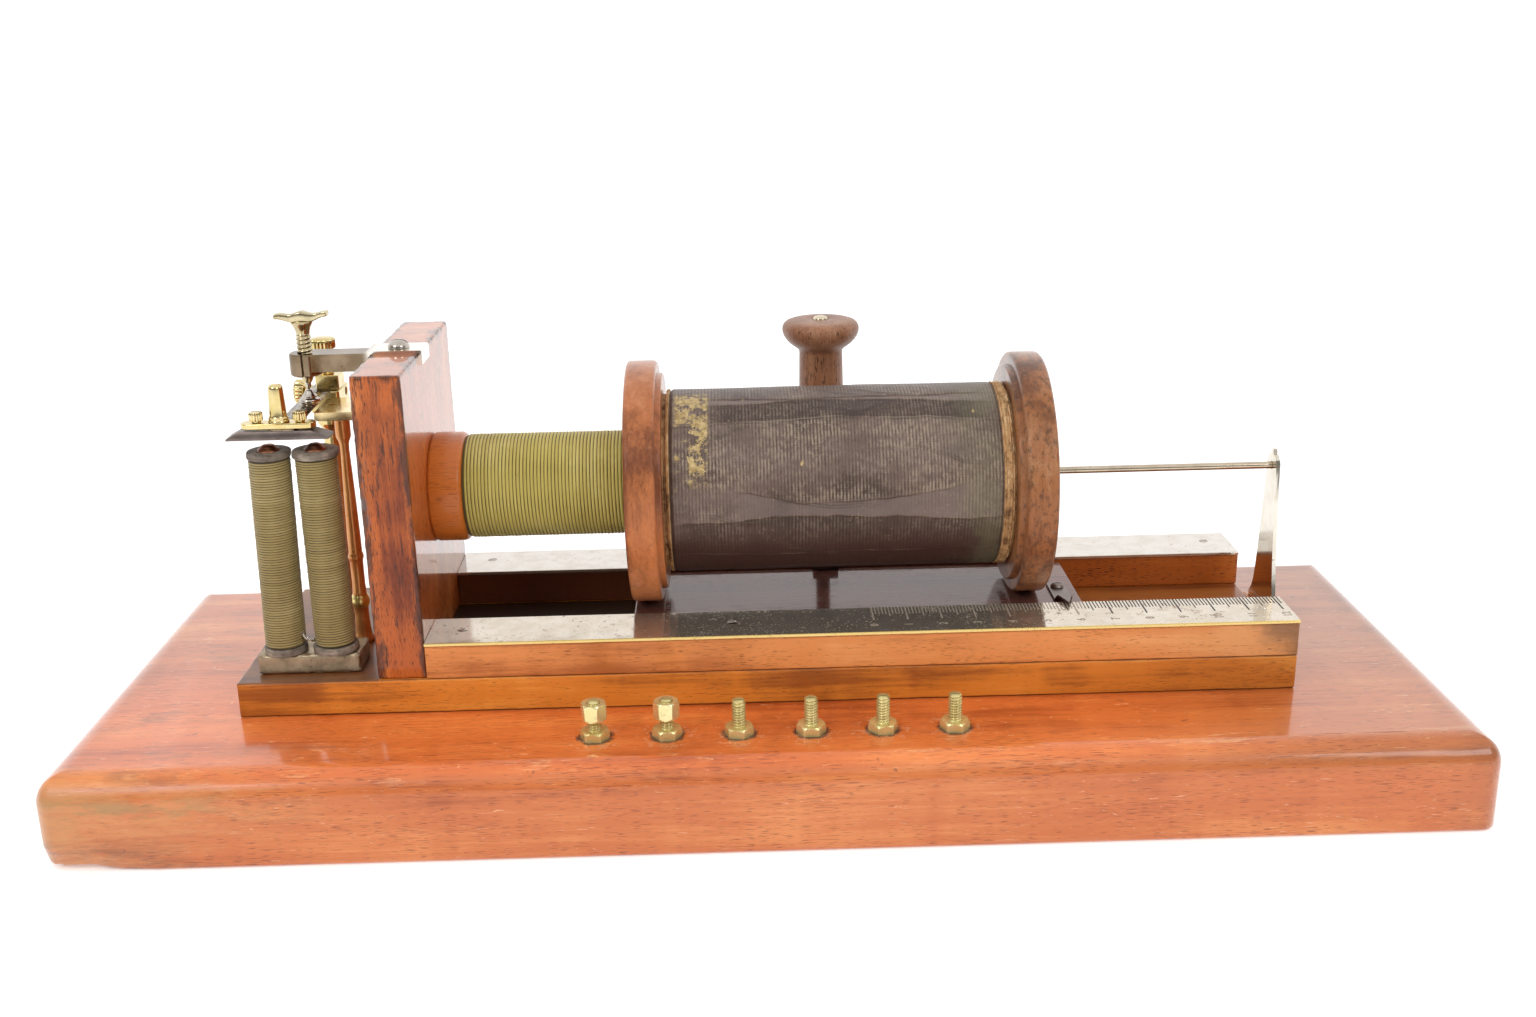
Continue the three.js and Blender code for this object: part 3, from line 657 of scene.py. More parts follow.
def silk(name, gap, tone, light, axis, pitch, seed):
    """Silk-covered wire: tone changes from turn to turn, with the fibres' own sheen."""
    s = Shade(name)
    sh = (seed, seed, seed)
    band = s.noise(along(axis, 0.8 / (pitch * MM), 14), 2, 0.6, sh)
    cloud = s.noise(60, 3, 0.6, sh)
    fuzz = s.noise(4200, 2, 0.6, sh)
    v = s.swayed(0.52, (band, 0.4), (cloud, 0.7), (fuzz, 0.35))
    col = s.ramp(v, (0.15, gap), (0.48, tone), (0.85, light))
    hit = s.step(s.noise(330, 3, 0.6, (seed + 5, 1, 2)), 0.66, 0.8)
    col = s.mix(hit * 0.5, col, gap)
    # painted shade in the grooves between turns
    groove_shade = s.step(s.painted("crown"), 0.8, 0.35)
    col = s.mix(groove_shade * 0.92, col, dim(gap, 0.18))
    return s.done(Base_Color=col, Roughness=0.62, Normal=s.bump(fuzz, 0.25, 0.06), Specular_IOR_Level=0.35,
                  Sheen_Weight=0.25, Sheen_Roughness=0.4)


# ---- wear, painted shade and painted highlights: each takes a material's colour and roughness (a metal's metallic too) and returns them ----
BASE_LO, BASE_HI, _ = box("base_board")
UPRIGHT_LO, UPRIGHT_HI, _ = box("upright")
SLEDGE_LO, SLEDGE_HI, _ = box("sledge_board")
COVER_LO, COVER_HI, COVER_C = box("secondary_cover")
COVER_R = (COVER_HI[2] - COVER_LO[2]) / 2


def base_wear(s, col, crough):
    """Rubbed and bruised places along the front edge, a bare corner at the front left, darker ends."""
    x, y, z = s.axes()
    lo, hi = BASE_LO * MM, BASE_HI * MM
    from_left = x - lo[0]
    from_right = hi[0] - x
    from_front = y - lo[1]
    ragged = s.noise(70, 4, 0.65) * 0.03
    # darker, dirtier ends
    end = s.step(s.min(from_left, from_right) + ragged, 0.034, 0.012)
    col = s.mix(end * 0.3, col, (0.16, 0.055, 0.025))
    # the bare corner: lighter, yellower wood
    near = from_left + abs(z - 0.02) * 1.2
    near = near + s.noise((50, 90, 330), 5, 0.75, (3, 1, 0)) * 0.16
    bare = s.step(near, 0.16, 0.075) * s.step(from_front, 0.011, 0.003)
    col = s.mix(bare * 0.55, col, (0.66, 0.33, 0.12))
    # greenish, greasy rim at that corner, and a browner foot
    rim = s.step(from_left, 0.1, 0.01) * s.step(abs(z - 0.0175), 0.006, 0.001)
    rim = rim * (s.step(from_front, 0.014, 0.006) * s.step(s.noise((60, 200, 260), 4, 0.7, (2, 9, 2)), 0.44,
                                                           0.6))
    col = s.mix(rim * 0.6, col, (0.3, 0.2, 0.075))
    foot = s.step(from_left, 0.05, 0.005) * s.step(z, 0.011, 0.002)
    foot = foot * s.step(s.noise((60, 60, 90), 4, 0.7, (5, 5, 5)), 0.4, 0.62)
    col = s.mix(foot * 0.5, col, (0.26, 0.13, 0.07))
    grime = s.step(s.noise((26, 90, 170), 5, 0.7, (6, 2, 5)), 0.52, 0.68) * s.step(from_left, 0.09, 0.01)
    col = s.mix(grime * 0.5, col, (0.15, 0.065, 0.035))
    # bruises along the top front edge
    edge = s.step(abs(from_front - 0.006), 0.007, 0.001) * s.step(z, 0.017, 0.022)
    bruise = edge * s.step(s.noise((45, 260, 260), 4, 0.7, (9, 2, 0)), 0.56, 0.68)
    col = s.mix(bruise * 0.5, col, (0.78, 0.42, 0.22))
    dents = s.step(s.noise(230, 2, 0.5, (1, 8, 3)), 0.73, 0.78)
    col = s.mix(dents * 0.55, col, (0.1, 0.03, 0.015))
    # fine pale scratches
    scratch = s.step(s.noise((150, 620, 1700), 2, 0.4, (2, 5, 1), 2.2), 0.7, 0.73)
    col = s.mix(scratch * 0.45, col, (0.85, 0.52, 0.32))
    crough = s.max(bare, bruise) * 0.3 + crough
    # painted shade: the upper part of the right end is tinted darker and greyer
    dull = s.step(from_right, 0.12, 0.03) * s.step(z, 0.018, 0.024)
    col = s.tinted(dull, col, (0.72, 0.86, 0.95))
    # painted shade and reflection of the frame: the front part of the top is tinted a deeper orange
    painted_shade_zone = s.step(z, hi[2] - 0.004, hi[2] - 0.001) * s.step(from_front, 0.1, 0.03)
    col = s.tinted(painted_shade_zone, col, (1.22, 1.07, 0.82))
    # dark rings worn into the polish round the terminals
    near = None
    for i in range(1, 7):
        c = box(f"terminal_{i}")[2]
        dx = x - c[0] * MM
        dy = y - c[1] * MM
        q = dx * dx + dy * dy
        near = q if near is None else s.min(near, q)
    r = (s.noise(330, 4, 0.7, (2, 2, 9)) - 0.5) * 0.0034 + s.math("SQRT", near)
    ring = s.step(r, 0.0055, 0.0045) * s.step(z, 0.018, 0.021)
    col = s.mix(ring * 0.88, col, (0.022, 0.012, 0.008))
    halo = s.step(r, 0.011, 0.0058) * s.step(s.noise(500, 2, 0.6), 0.5, 0.66)
    col = s.mix(halo * 0.25, col, (0.75, 0.42, 0.24))
    crough = s.max(ring, halo) * 0.35 + crough
    return col, crough


def trench(s, col, crough):
    """The floor between the rails is painted dark as shade, nearly black towards the coil."""
    x, y, z = s.axes()
    lo, hi, _ = box("frame_board")
    front, rear = box("rail_front")[1][1], box("rail_rear")[0][1]
    top = s.step_mm(z, hi[2] - 0.5, hi[2] - 0.2)
    floor = top * s.step_mm(y, front - 0.3, front + 0.3)
    floor = floor * s.step_mm(y, rear + 0.3, rear - 0.3)
    floor = floor * s.step_mm(x, UPRIGHT_HI[0] - 0.5, UPRIGHT_HI[0])
    painted_shade_zone = s.step_mm(x, box("flange_right")[1][0], box("flange_left")[0][0])
    # painted shade on the floor between the rails, deepest under the coil
    col = s.mix(floor * 0.58, col, (0.13, 0.033, 0.011))
    col = s.mix(floor * (painted_shade_zone * 0.96), col, (0.006, 0.002, 0.001))
    # painted shade and dark reflection on the top under the hammer, and dirt in the seams above and below the
    # board
    beside = top * s.step_mm(x, UPRIGHT_LO[0] + 0.5, UPRIGHT_LO[0])
    smudge_and_shade = s.clamp(s.noise(60, 4, 0.65, (1, 6, 2)) * 0.5 + 0.6)
    col = s.mix(beside * (smudge_and_shade * 0.9), col, (0.05, 0.026, 0.02))
    face = s.step_mm(y, lo[1] + 0.6, lo[1] + 0.3)
    wander = s.noise(90, 3, 0.6, (3, 3, 6)) * 0.0006
    under = s.step_mm(z - wander, lo[2] + 0.35, lo[2])
    above = s.step_mm(z + wander, hi[2] - 0.15, hi[2] + 0.25)
    above = above * s.step_mm(x, UPRIGHT_LO[0], UPRIGHT_LO[0] + 1)
    # painted shade: the right end of the board is tinted darker
    tail = s.step_mm(x, hi[0] - 90, hi[0])
    col = s.tinted(tail * 0.75, col, (0.66, 0.6, 0.62))
    seam = face * s.max(under, above)
    col = s.mix(seam * 0.75, col, (0.03, 0.01, 0.004))
    return col, crough


def scuffs(s, col, crough):
    """Dark bruises down the upright's arrises, and grey dirt rubbed into them."""
    x, y, z = s.axes()
    lo, hi, _ = box("upright")
    in_x = s.min(x - lo[0] * MM, hi[0] * MM - x)
    in_y = s.min(y - lo[1] * MM, hi[1] * MM - y)
    in_z = hi[2] * MM - z
    # on a face, the middle one of the three depths is the distance to the nearest arris
    sides = s.max(s.min(in_x, in_y), s.min(s.max(in_x, in_y), in_z))
    reach = s.noise((160, 160, 60), 4, 0.7, (5, 5, 1)) * 0.01 - 0.0036
    near = s.step(sides - reach, 0.0008, -0.0012)
    col = s.mix(near * 0.8, col, (0.04, 0.02, 0.016))
    cloud = s.step(s.noise((70, 70, 45), 4, 0.65, (2, 7, 7)), 0.5, 0.66)
    col = s.mix(cloud * 0.32, col, (0.16, 0.036, 0.01))
    # long dark strokes down the front, thickest at the left and in the upper half
    stroke = s.noise((1500, 400, 120), 4, 0.7, (3, 1, 4), 0.4)
    side = s.step_mm(x, hi[0], lo[0] - 6)
    high = s.step_mm(z, lo[2], lo[2] + 0.8 * (hi[2] - lo[2]))
    lim = (side + high) * -0.06 + 0.635
    cut = s.step(stroke - lim, -0.01, 0.04)
    cut = cut * s.step_mm(y, lo[1] + 1.5, lo[1] + 0.5)
    col = s.mix(cut * 0.75, col, (0.035, 0.014, 0.01))
    # grey dirt by the left arris, half way up
    dirty = s.step_mm(x, lo[0] + 4, lo[0]) * s.step(s.noise((330, 200, 160), 4, 0.65, (8, 2, 4)), 0.52, 0.62)
    middle = abs(z - (lo[2] + 0.55 * (hi[2] - lo[2])) * MM)
    dirty = dirty * s.step(middle, 0.024, 0.01)
    dirty = dirty * s.step_mm(y, lo[1] + 3, lo[1] + 1)
    return s.mix(dirty * 0.8, col, (0.13, 0.1, 0.095)), crough


def turned_wear(s, col, crough):
    """Blotches and open grain on the turned flanges: the left one redder below, the right one browner."""
    x, _, z = s.axes()
    _, _, c = box("flange_right")
    right = s.step(x, 0.0, 0.01)
    blotch = s.step(s.noise((70, 55, 55), 5, 0.7, (2, 4, 1)), 0.5, 0.68)
    col = s.mix(blotch * 0.65, col, (0.12, 0.034, 0.013))
    warm = s.step_mm(z, c[2] + 12, c[2] - 12) * (1.0 - right)
    warm = warm * s.step(s.noise((90, 50, 40), 4, 0.6, (7, 2, 3)), 0.38, 0.58)
    col = s.mix(warm * 0.55, col, (0.5, 0.15, 0.04))
    grain = s.step(s.noise((700, 420, 420), 3, 0.65, (5, 1, 1)), 0.5, 0.64)
    grain = grain * (right * 0.4 + 0.15)
    col = s.mix(grain, col, (0.075, 0.034, 0.018))
    pale = s.step(s.noise(260, 4, 0.7, (9, 9, 1)), 0.6, 0.74)
    col = s.mix(pale * 0.35, col, (0.5, 0.28, 0.15))
    side = s.mix(right, (1.18, 1.25, 1.32), (0.84, 1.0, 1.1))
    return s.mix(1.0, col, side, "MULTIPLY"), crough


def rail_end(s, col, crough):
    """The front rail is painted darker towards its right end, as shade, and a corner is smudged."""
    x, _, z = s.axes()
    _, hi, _ = box("rail_front")
    # painted shade towards the right end
    tail = s.step_mm(x, hi[0] - 70, hi[0])
    col = s.tinted(tail * 0.6, col, (0.72, 0.7, 0.72))
    smudge_and_shade = hi[0] * MM - x + (hi[2] * MM - z)
    smudge_and_shade = s.noise(150, 4, 0.65, (8, 1, 6)) * -0.018 + smudge_and_shade
    smudge_and_shade = s.step(smudge_and_shade, 0.01, -0.004)
    return s.mix(smudge_and_shade * 0.7, col, (0.15, 0.085, 0.045)), crough


def shaded_rail(s, col, crough):
    """The rear rail is darkened nearly to black between the upright and the coil."""
    x = s.axes()[0]
    darkened_span = s.step_mm(x, SLEDGE_HI[0] - 20, SLEDGE_LO[0] - 10)
    return s.mix(darkened_span * 0.85, col, (0.06, 0.016, 0.006)), crough


def rubbed(s, col, crough):
    """Long dull scratches and a split in the sledge's polish."""
    x, y, _ = s.axes()
    lines = s.step(s.noise((14, 520, 520), 2, 0.5, (4, 4, 4), 0.6), 0.62, 0.72)
    col = s.mix(lines * 0.6, col, (0.11, 0.075, 0.06))
    wander = s.noise((40, 1, 1), 3, 0.6) * 0.0014 + 0.006
    split = s.step(abs(x * -0.02 + y - wander), 0.00032, 0.00012)
    split = split * s.step(x, 0.035, 0.042)
    return s.mix(split, col, (0.004, 0.002, 0.001)), crough


def strip_stains(s, col, r, metallic):
    """Rust and verdigris specks on the scale strip, most by the sledge, and its yellow front edge."""
    x, y, _ = s.axes()
    lo, hi, _ = box("strip_front")
    by_sledge = s.step_mm(x, SLEDGE_LO[0] - 12, SLEDGE_LO[0]) * s.step_mm(y, hi[1] + 2, hi[1])
    patch = s.noise((60, 110, 110), 4, 0.65, (4, 2, 2))
    rust = s.step(s.noise(420, 5, 0.75, (6, 6, 2)), 0.56, 0.66)
    rust = rust * (s.step(patch, 0.4, 0.62) * (by_sledge * 0.6 + 0.2))
    speck = s.step(s.noise(1300, 2, 0.6, (1, 3, 8)), 0.62, 0.7)
    speck = speck * (s.step(patch, 0.36, 0.55) * (by_sledge * 0.7 + 0.1))
    col = s.mix(rust, col, (0.2, 0.075, 0.03))
    col = s.mix(speck, col, (0.62, 0.5, 0.28))
    spoilt = s.max(rust, speck)
    r = spoilt * 0.4 + r
    edge = s.step_mm(y, lo[1] + 0.5, lo[1] + 0.25) * s.step_mm(y, lo[1] - 1, lo[1] - 0.5)
    col = s.mix(edge * 0.9, col, (0.7, 0.5, 0.16))
    return col, r, spoilt * (-0.8 * metallic) + metallic


def pale_strap(s, col, r, metallic):
    """The part of the arm that lies over the upright is painted pale, as a highlight."""
    over = s.step_mm(s.axes()[0], UPRIGHT_LO[0] - 3, UPRIGHT_LO[0] + 1)
    return s.mix(over, col, (0.86, 0.81, 0.73)), r, metallic


def dark_rod(s, col, r, metallic):
    """The handle's rod is browned; only its end shows bright in the top of the grip."""
    z = s.axes()[2]
    top = box("handle_grip")[0][2]
    low = s.step_mm(z, top + 6, top + 5)
    return s.mix(low, col, (0.12, 0.07, 0.055)), low * 0.15 + r, metallic


def dull_thread(s, col, r, metallic):
    """The studs above their hexagons are painted darker in patches, as the shade in their thread grooves."""
    _, _, z = s.axes()
    low = BASE_HI[2] * MM
    above = s.step(z, low + 0.0026, low + 0.0031)
    smudge_and_shade = s.step(s.noise((300, 300, 700), 3, 0.6, (4, 8, 1)), 0.36, 0.62)
    return s.mix(above * (smudge_and_shade * 0.35 + 0.3), col, (0.42, 0.33, 0.13)), r, metallic


def pillar_ball(s, col, r, metallic):
    """The turned ball low on the pillar is bare brass."""
    z = s.axes()[2]
    low = box("front_pillar")[0][2]
    ball = s.step_mm(z, low + 10.9, low + 11.2) * s.step_mm(z, low + 15.3, low + 15.0)
    return s.mix(ball, col, (0.8, 0.64, 0.26)), r, ball * (1 - metallic) + metallic


def card_material(name, dark, mid, light, axis, seed):
    """Pasteboard and varnished card: layered edge, fibres, rubbed places."""
    s = Shade(name)
    sh = (seed, seed, seed)
    layer = s.noise(along(axis, 2600, 30), 2, 0.6, sh)
    cloud = s.noise(120, 4, 0.65, sh)
    v = s.swayed(0.5, (layer, 0.5), (cloud, 1.3))
    col = s.ramp(v, (0.2, dark), (0.5, mid), (0.8, light))
    rag = s.step(s.noise(along(axis, 900, 260), 5, 0.75, (seed + 2, 3, 1)), 0.53, 0.62)
    col = s.mix(rag * 0.55, col, dim(dark, 0.7))
    return s.done(Base_Color=col, Roughness=0.66, Normal=s.bump(v - rag, 0.5, 0.15), Specular_IOR_Level=0.3)


def cloth_material():
    """Worn book cloth: ribbed weave, rubbed crowns, glazed patches, bare glue, with painted shade low down and
    in the folds.
    """
    s = Shade("book_cloth")
    x, y, z = s.axes()
    _, cy, cz = [c * MM for c in COVER_C]
    yy, zz = y - cy, z - cz
    # the angle is 0 at the top of the coil and grows towards the front
    ang = s.math("ARCTAN2", yy * -1, zz)
    arc = ang * (COVER_R * MM)
    left = x - COVER_LO[0] * MM
    right = COVER_HI[0] * MM - x
    wobble = (s.noise(90, 2, 0.5) - 0.5) * 1.6
    rib = s.sin(x * (TAU / 0.00098) + wobble)
    weft = s.sin(arc * (TAU / 0.00078) + wobble)
    thread = s.noise((1300, 520, 520), 3, 0.65)
    weave = rib * 0.34 + rib * weft * 0.13
    weave = weave + weft * 0.04
    height = weave + ((thread - 0.5) * 1.7 + 0.35)
    crown = s.step(height, 0.1, 0.75)
    rub = s.noise(60, 5, 0.6, (2, 2, 2))
    soft = s.noise((40, 90, 90), 4, 0.65, (7, 3, 1)) - 0.5
    glaze = s.clamp(soft * 0.9 + s.painted("glaze"))
    dirt = s.clamp(soft * -0.8 + s.painted("dirt"))
    broken = s.step(s.noise((330, 520, 520), 3, 0.6, (6, 1, 8)), 0.34, 0.58)
    amount = s.step(rub, 0.3, 0.62) * (glaze * -0.85 + 1.0)
    amount = amount * (dirt * -0.75 + 1.0)
    amount = amount * (broken * 0.85 + 0.15)
    tone = s.ramp(s.noise((35, 50, 50), 4, 0.6, (5, 5, 5)), (0.3, (0.062, 0.035, 0.026)),
                  (0.5, (0.128, 0.083, 0.063)), (0.72, (0.19, 0.134, 0.104)))
    col = s.mix(glaze * 0.6, tone, (0.185, 0.132, 0.118))
    col = s.mix(dirt * 0.92, col, (0.032, 0.014, 0.01))
    hollow = s.step(height, 0.25, -0.25) * s.clamp(glaze * -0.8 + 0.85)
    col = s.mix(hollow * 0.62, col, (0.034, 0.019, 0.014))
    col = s.mix(crown * amount, col, (0.33, 0.255, 0.185))
    fleck = s.step(s.noise(1100, 3, 0.7, (8, 8, 1)), 0.6, 0.72)
    fleck = fleck * s.step(s.noise(110, 3, 0.6, (3, 9, 2)), 0.42, 0.6)
    col = s.mix(fleck * 0.7, col, (0.36, 0.29, 0.18))
    # painted shade: the lower front of the coil is darkened nearly to black
    low = s.step(abs(ang - (math.pi / 2 + 0.95)), 0.75, 0.35)
    col = s.mix(low * 0.92, col, (0.04, 0.01, 0.005))
    # painted highlight, partly rubbed wear, on the lips of the folds, and painted shadow lines under them
    col = s.mix(s.painted("lip") * (s.step(rub, 0.42, 0.62) * 0.6), col, (0.24, 0.19, 0.13))
    col = s.mix(s.painted("crease_shadow") * 0.7, col, (0.02, 0.01, 0.007))
    # dirty greenish band towards the right end
    green = s.step(right, 0.02, 0.004) * s.step(s.noise(48, 3, 0.6, (1, 9, 4)), 0.42, 0.62)
    col = s.mix(green * 0.45, col, (0.15, 0.14, 0.075))
    # bare yellow glue where the cloth's face is gone, at the upper left
    ragged = s.noise(300, 6, 0.8, (4, 1, 7))
    where = s.step(left, 0.0118, 0.0106) * s.step(left, 0.0008, 0.0022)
    where = where * s.step(abs(ang - 0.74), 0.66, 0.52)
    island = (s.noise(120, 2, 0.5, (3, 8, 3)) - 0.5) * 0.34
    # below, only the right half of the patch is left
    tail = s.step(ang, 0.62, 0.86) * s.step(left, 0.0062, 0.0044)
    island = tail * -0.12 + island
    glue = s.step(ragged + island, 0.47, 0.51) * where
    drop = s.step(s.noise(300, 1, 0.4, (11, 3, 2)), 0.76, 0.775) * s.step(ang, 0.2, 0.5)
    drop = drop * s.step(ang, 1.5, 1.2)
    glue = s.max(glue, drop * 0.8)
    gold = s.ramp(s.noise(700, 3, 0.7), (0.3, (0.29, 0.19, 0.065)), (0.7, (0.58, 0.43, 0.2)))
    col = s.mix(glue, col, gold)
    # frayed dark ends
    end = s.step(s.min(left, right) + ragged * 0.002, 0.0026, 0.0012)
    col = s.mix(end * 0.7, col, (0.045, 0.022, 0.014))
    nrm = s.bump(glue, 0.5, -0.1, s.bump(height, 0.5, 0.16))
    rough = low * 0.25 + (glaze * -0.22 + 0.5)
    return s.done(Base_Color=col, Roughness=rough, Normal=nrm, Specular_IOR_Level=0.34, Sheen_Weight=0.03)


def ink_material():
    """Black wax in the engraved lines, gone in places."""
    s = Shade("engraving_wax")
    v = s.noise(1500, 3, 0.6)
    waxed = s.ramp(v, (0.3, (0.02, 0.014, 0.011)), (0.66, (0.05, 0.036, 0.028)), (0.85, (0.2, 0.15, 0.11)))
    bare = s.ramp(v, (0.3, (0.24, 0.19, 0.14)), (0.7, (0.44, 0.36, 0.28)))
    end = SLEDGE_HI[0]
    col = s.mix(s.step_mm(s.axes()[0], end + 0.5, end - 3), waxed, bare)
    return s.done(Base_Color=col, Roughness=0.6, Normal=s.bump(v, 0.3, 0.02))


def japan_material():
    """Brown stoving lacquer on iron, rubbed thin in places."""
    s = Shade("brown_japan")
    v = s.noise(260, 4, 0.6)
    col = s.ramp(v, (0.3, (0.03, 0.012, 0.007)), (0.6, (0.075, 0.028, 0.014)), (0.8, (0.13, 0.06, 0.03)))
    return s.done(Base_Color=col, Roughness=v * 0.4 + 0.15, Normal=s.bump(v, 0.2, 0.05))


M = {
    "base": wood("mahogany_base", (0.34, 0.068, 0.015), (0.58, 0.152, 0.038), (0.72, 0.25, 0.075), "x",
                 pores=0.6, extra=base_wear, seed=1.3, figure=1.2, coat_rough=0.09, ior=1.72, pore_len=260,
                 pore_w=4200, pore_tone=0.5),
    "frame": wood("oak_frame", (0.33, 0.088, 0.01), (0.7, 0.222, 0.024), (0.84, 0.34, 0.055), "x", pores=0.5,
                  seed=4.1, coat_rough=0.14, figure=1.5, coat=0.55, extra=trench, pore_tone=0.35,
                  pore_len=420, pore_w=5200, pore_lim=0.81),
    "rail": wood("oak_rail", (0.44, 0.13, 0.028), (0.73, 0.262, 0.068), (0.84, 0.38, 0.13), "x", pores=0.8,
                 seed=7.7, coat_rough=0.2, coat=0.55, pore_tone=0.45, pore_len=400, pore_w=5600, figure=1.2,
                 pore_lim=0.815, extra=rail_end),
    "rail_rear": wood("oak_rail_rear", (0.2, 0.04, 0.006), (0.42, 0.1, 0.012), (0.55, 0.17, 0.03), "x",
                      pores=0.9, seed=3.3, coat_rough=0.2, coat=0.45, pore_tone=0.3, pore_len=420,
                      pore_w=4200, extra=shaded_rail),
    "upright": wood("mahogany_upright", (0.19, 0.034, 0.007), (0.47, 0.108, 0.018), (0.62, 0.19, 0.045), "z",
                    pores=0.85, seed=2.2, coat_rough=0.05, pore_len=420, pore_w=5000, figure=1.6, ior=1.85,
                    pore_tone=0.25, extra=scuffs, front=0.2, spec=0.12, ripple=0.04),
    "sledge": wood("dark_sledge", (0.08, 0.03, 0.022), (0.155, 0.061, 0.046), (0.22, 0.095, 0.072), "x",
                   pores=0.5, seed=5.5, coat=0.0, rough=0.085, figure=1.5, ior=1.5, spec=0.5,
                   tint=(1.0, 0.86, 0.84), extra=rubbed, fibre_bump=0.16),
    "flange": wood("turned_flange", (0.15, 0.042, 0.015), (0.37, 0.118, 0.04), (0.47, 0.19, 0.085), "z",
                   pores=0.35, seed=8.4, coat_rough=0.17, coat=0.8, front=0.22, spec=0.15, figure=1.5,
                   pore_len=420, pore_w=4400, pore_tone=0.4, extra=turned_wear),
    "spool": wood("turned_spool", (0.34, 0.08, 0.008), (0.53, 0.138, 0.016), (0.66, 0.22, 0.04), "x",
                  pores=0.5, seed=3.9, coat_rough=0.14, coat=0.75, figure=0.8),
    "grip": wood("turned_grip", (0.09, 0.034, 0.016), (0.26, 0.105, 0.048), (0.42, 0.21, 0.115), "z",
                 pores=0.95, seed=6.6, coat_rough=0.35, coat=0.35, figure=1.0, pore_tone=0.3, pore_len=420,
                 pore_w=4400),
    "cleat": wood("oak_cleat", (0.26, 0.065, 0.01), (0.48, 0.145, 0.022), (0.6, 0.23, 0.05), "y", pores=0.7,
                  seed=9.1, coat_rough=0.16, coat=0.6),
    "strip": metal("nickel_silver", (0.7, 0.62, 0.52), (0.62, 0.53, 0.42), 0.12, 0.8, (0.26, 0.11, 0.05),
                   1.0, 0.05, 0.12, brush=(60, 1500, 1500), metallic=0.84, extra=strip_stains),
    "strip_rear": metal("nickel_silver_rear", (0.72, 0.67, 0.61), (0.66, 0.6, 0.53), 0.12, 0.7,
                        (0.26, 0.13, 0.07), 1.5, 0.05, 0.1, brush=(60, 1500, 1500), metallic=0.84),
    "brass": metal("brass", (0.62, 0.49, 0.21), (0.74, 0.61, 0.33), 0.15, 0.35, (0.22, 0.12, 0.04), 2.0,
                   0.1),
    "terminal": metal("terminal_brass", (0.72, 0.6, 0.24), (0.82, 0.71, 0.34), 0.18, 0.4, (0.2, 0.12, 0.05),
                      2.6, 0.1, metallic=0.55, extra=dull_thread),
    "nut_brass": metal("nut_brass", (0.78, 0.67, 0.31), (0.86, 0.76, 0.42), 0.18, 0.35, (0.25, 0.15, 0.06),
                       2.6, 0.1, metallic=0.68),
    "bracket": metal("bracket_brass", (0.7, 0.655, 0.58), (0.64, 0.58, 0.48), 0.16, 0.4, (0.25, 0.14, 0.05),
                     3.2, 0.08),
    "screw_brass": metal("screw_brass", (0.5, 0.42, 0.25), (0.62, 0.53, 0.34), 0.17, 0.4, (0.2, 0.12, 0.05),
                         3.7, 0.1, 0.3),
    "shelf": metal("shelf_brass", (0.92, 0.72, 0.38), (0.84, 0.62, 0.31), 0.18, 0.4, (0.25, 0.14, 0.05), 3.4,
                   0.08),
    "arm_brass": metal("arm_brass", (0.25, 0.185, 0.12), (0.18, 0.13, 0.08), 0.2, 0.4, (0.2, 0.1, 0.04), 3.5,
                       0.12, 0.3, extra=pale_strap),
    "handle_rod": metal("handle_rod", (0.74, 0.66, 0.5), (0.62, 0.53, 0.38), 0.2, 0.4, (0.25, 0.14, 0.05),
                        3.9, 0.08, extra=dark_rod),
    "bronze": metal("bronze", (0.64, 0.27, 0.085), (0.74, 0.37, 0.13), 0.3, 0.3, (0.1, 0.03, 0.01), 4.0,
                    0.08, metallic=0.6, extra=pillar_ball),
    "iron": metal("browned_iron", (0.17, 0.135, 0.12), (0.24, 0.19, 0.17), 0.34, 0.5, (0.05, 0.03, 0.02),
                  5.0, 0.15),
    "yoke": metal("yoke_iron", (0.46, 0.36, 0.24), (0.33, 0.26, 0.17), 0.46, 0.7, (0.06, 0.035, 0.02), 6.0,
                  0.3, 0.4),
    "pole": metal("pole_iron", (0.3, 0.12, 0.06), (0.12, 0.06, 0.04), 0.38, 0.6, (0.03, 0.015, 0.01), 6.5,
                  0.3, 0.3),
    "blued": metal("blued_steel", (0.13, 0.105, 0.09), (0.46, 0.37, 0.24), 0.22, 0.3, (0.03, 0.02, 0.015),
                   7.0, 0.06),
    "steel": metal("steel", (0.55, 0.5, 0.45), (0.42, 0.37, 0.32), 0.18, 0.4, (0.12, 0.09, 0.07), 8.0, 0.08),
    "rod": metal("drawn_rod", (0.56, 0.47, 0.36), (0.44, 0.36, 0.27), 0.17, 0.3, (0.2, 0.13, 0.08), 8.5,
                 0.05, brush=(60, 3000, 3000)),
    "copper": metal("copper_wire", (0.45, 0.2, 0.11), (0.34, 0.14, 0.08), 0.3, 0.4, (0.08, 0.03, 0.02), 9.0,
                    0.1),
    "silk_x": silk("silk_primary", (0.19, 0.145, 0.028), (0.46, 0.375, 0.09), (0.64, 0.56, 0.21), "x",
                   PRIMARY_PITCH, 1.0),
    "silk_z": silk("silk_magnet", (0.12, 0.085, 0.025), (0.29, 0.215, 0.075), (0.44, 0.35, 0.16), "z",
                   MAGNET_PITCH, 2.0),
}
M["card"] = card_material("pasteboard", (0.10, 0.035, 0.012), (0.50, 0.28, 0.12), (0.76, 0.52, 0.28), "x",
                          1.0)
M["cheek"] = card_material("varnished_card", (0.055, 0.040, 0.030), (0.18, 0.142, 0.11), (0.38, 0.31, 0.24),
                           "z", 4.0)
M["paper_tube"] = card_material("brown_paper", (0.10, 0.05, 0.025), (0.22, 0.12, 0.06), (0.34, 0.20, 0.11),
                                "x", 2.0)
M["cloth"] = cloth_material()
M["ink"] = ink_material()
M["japan"] = japan_material()


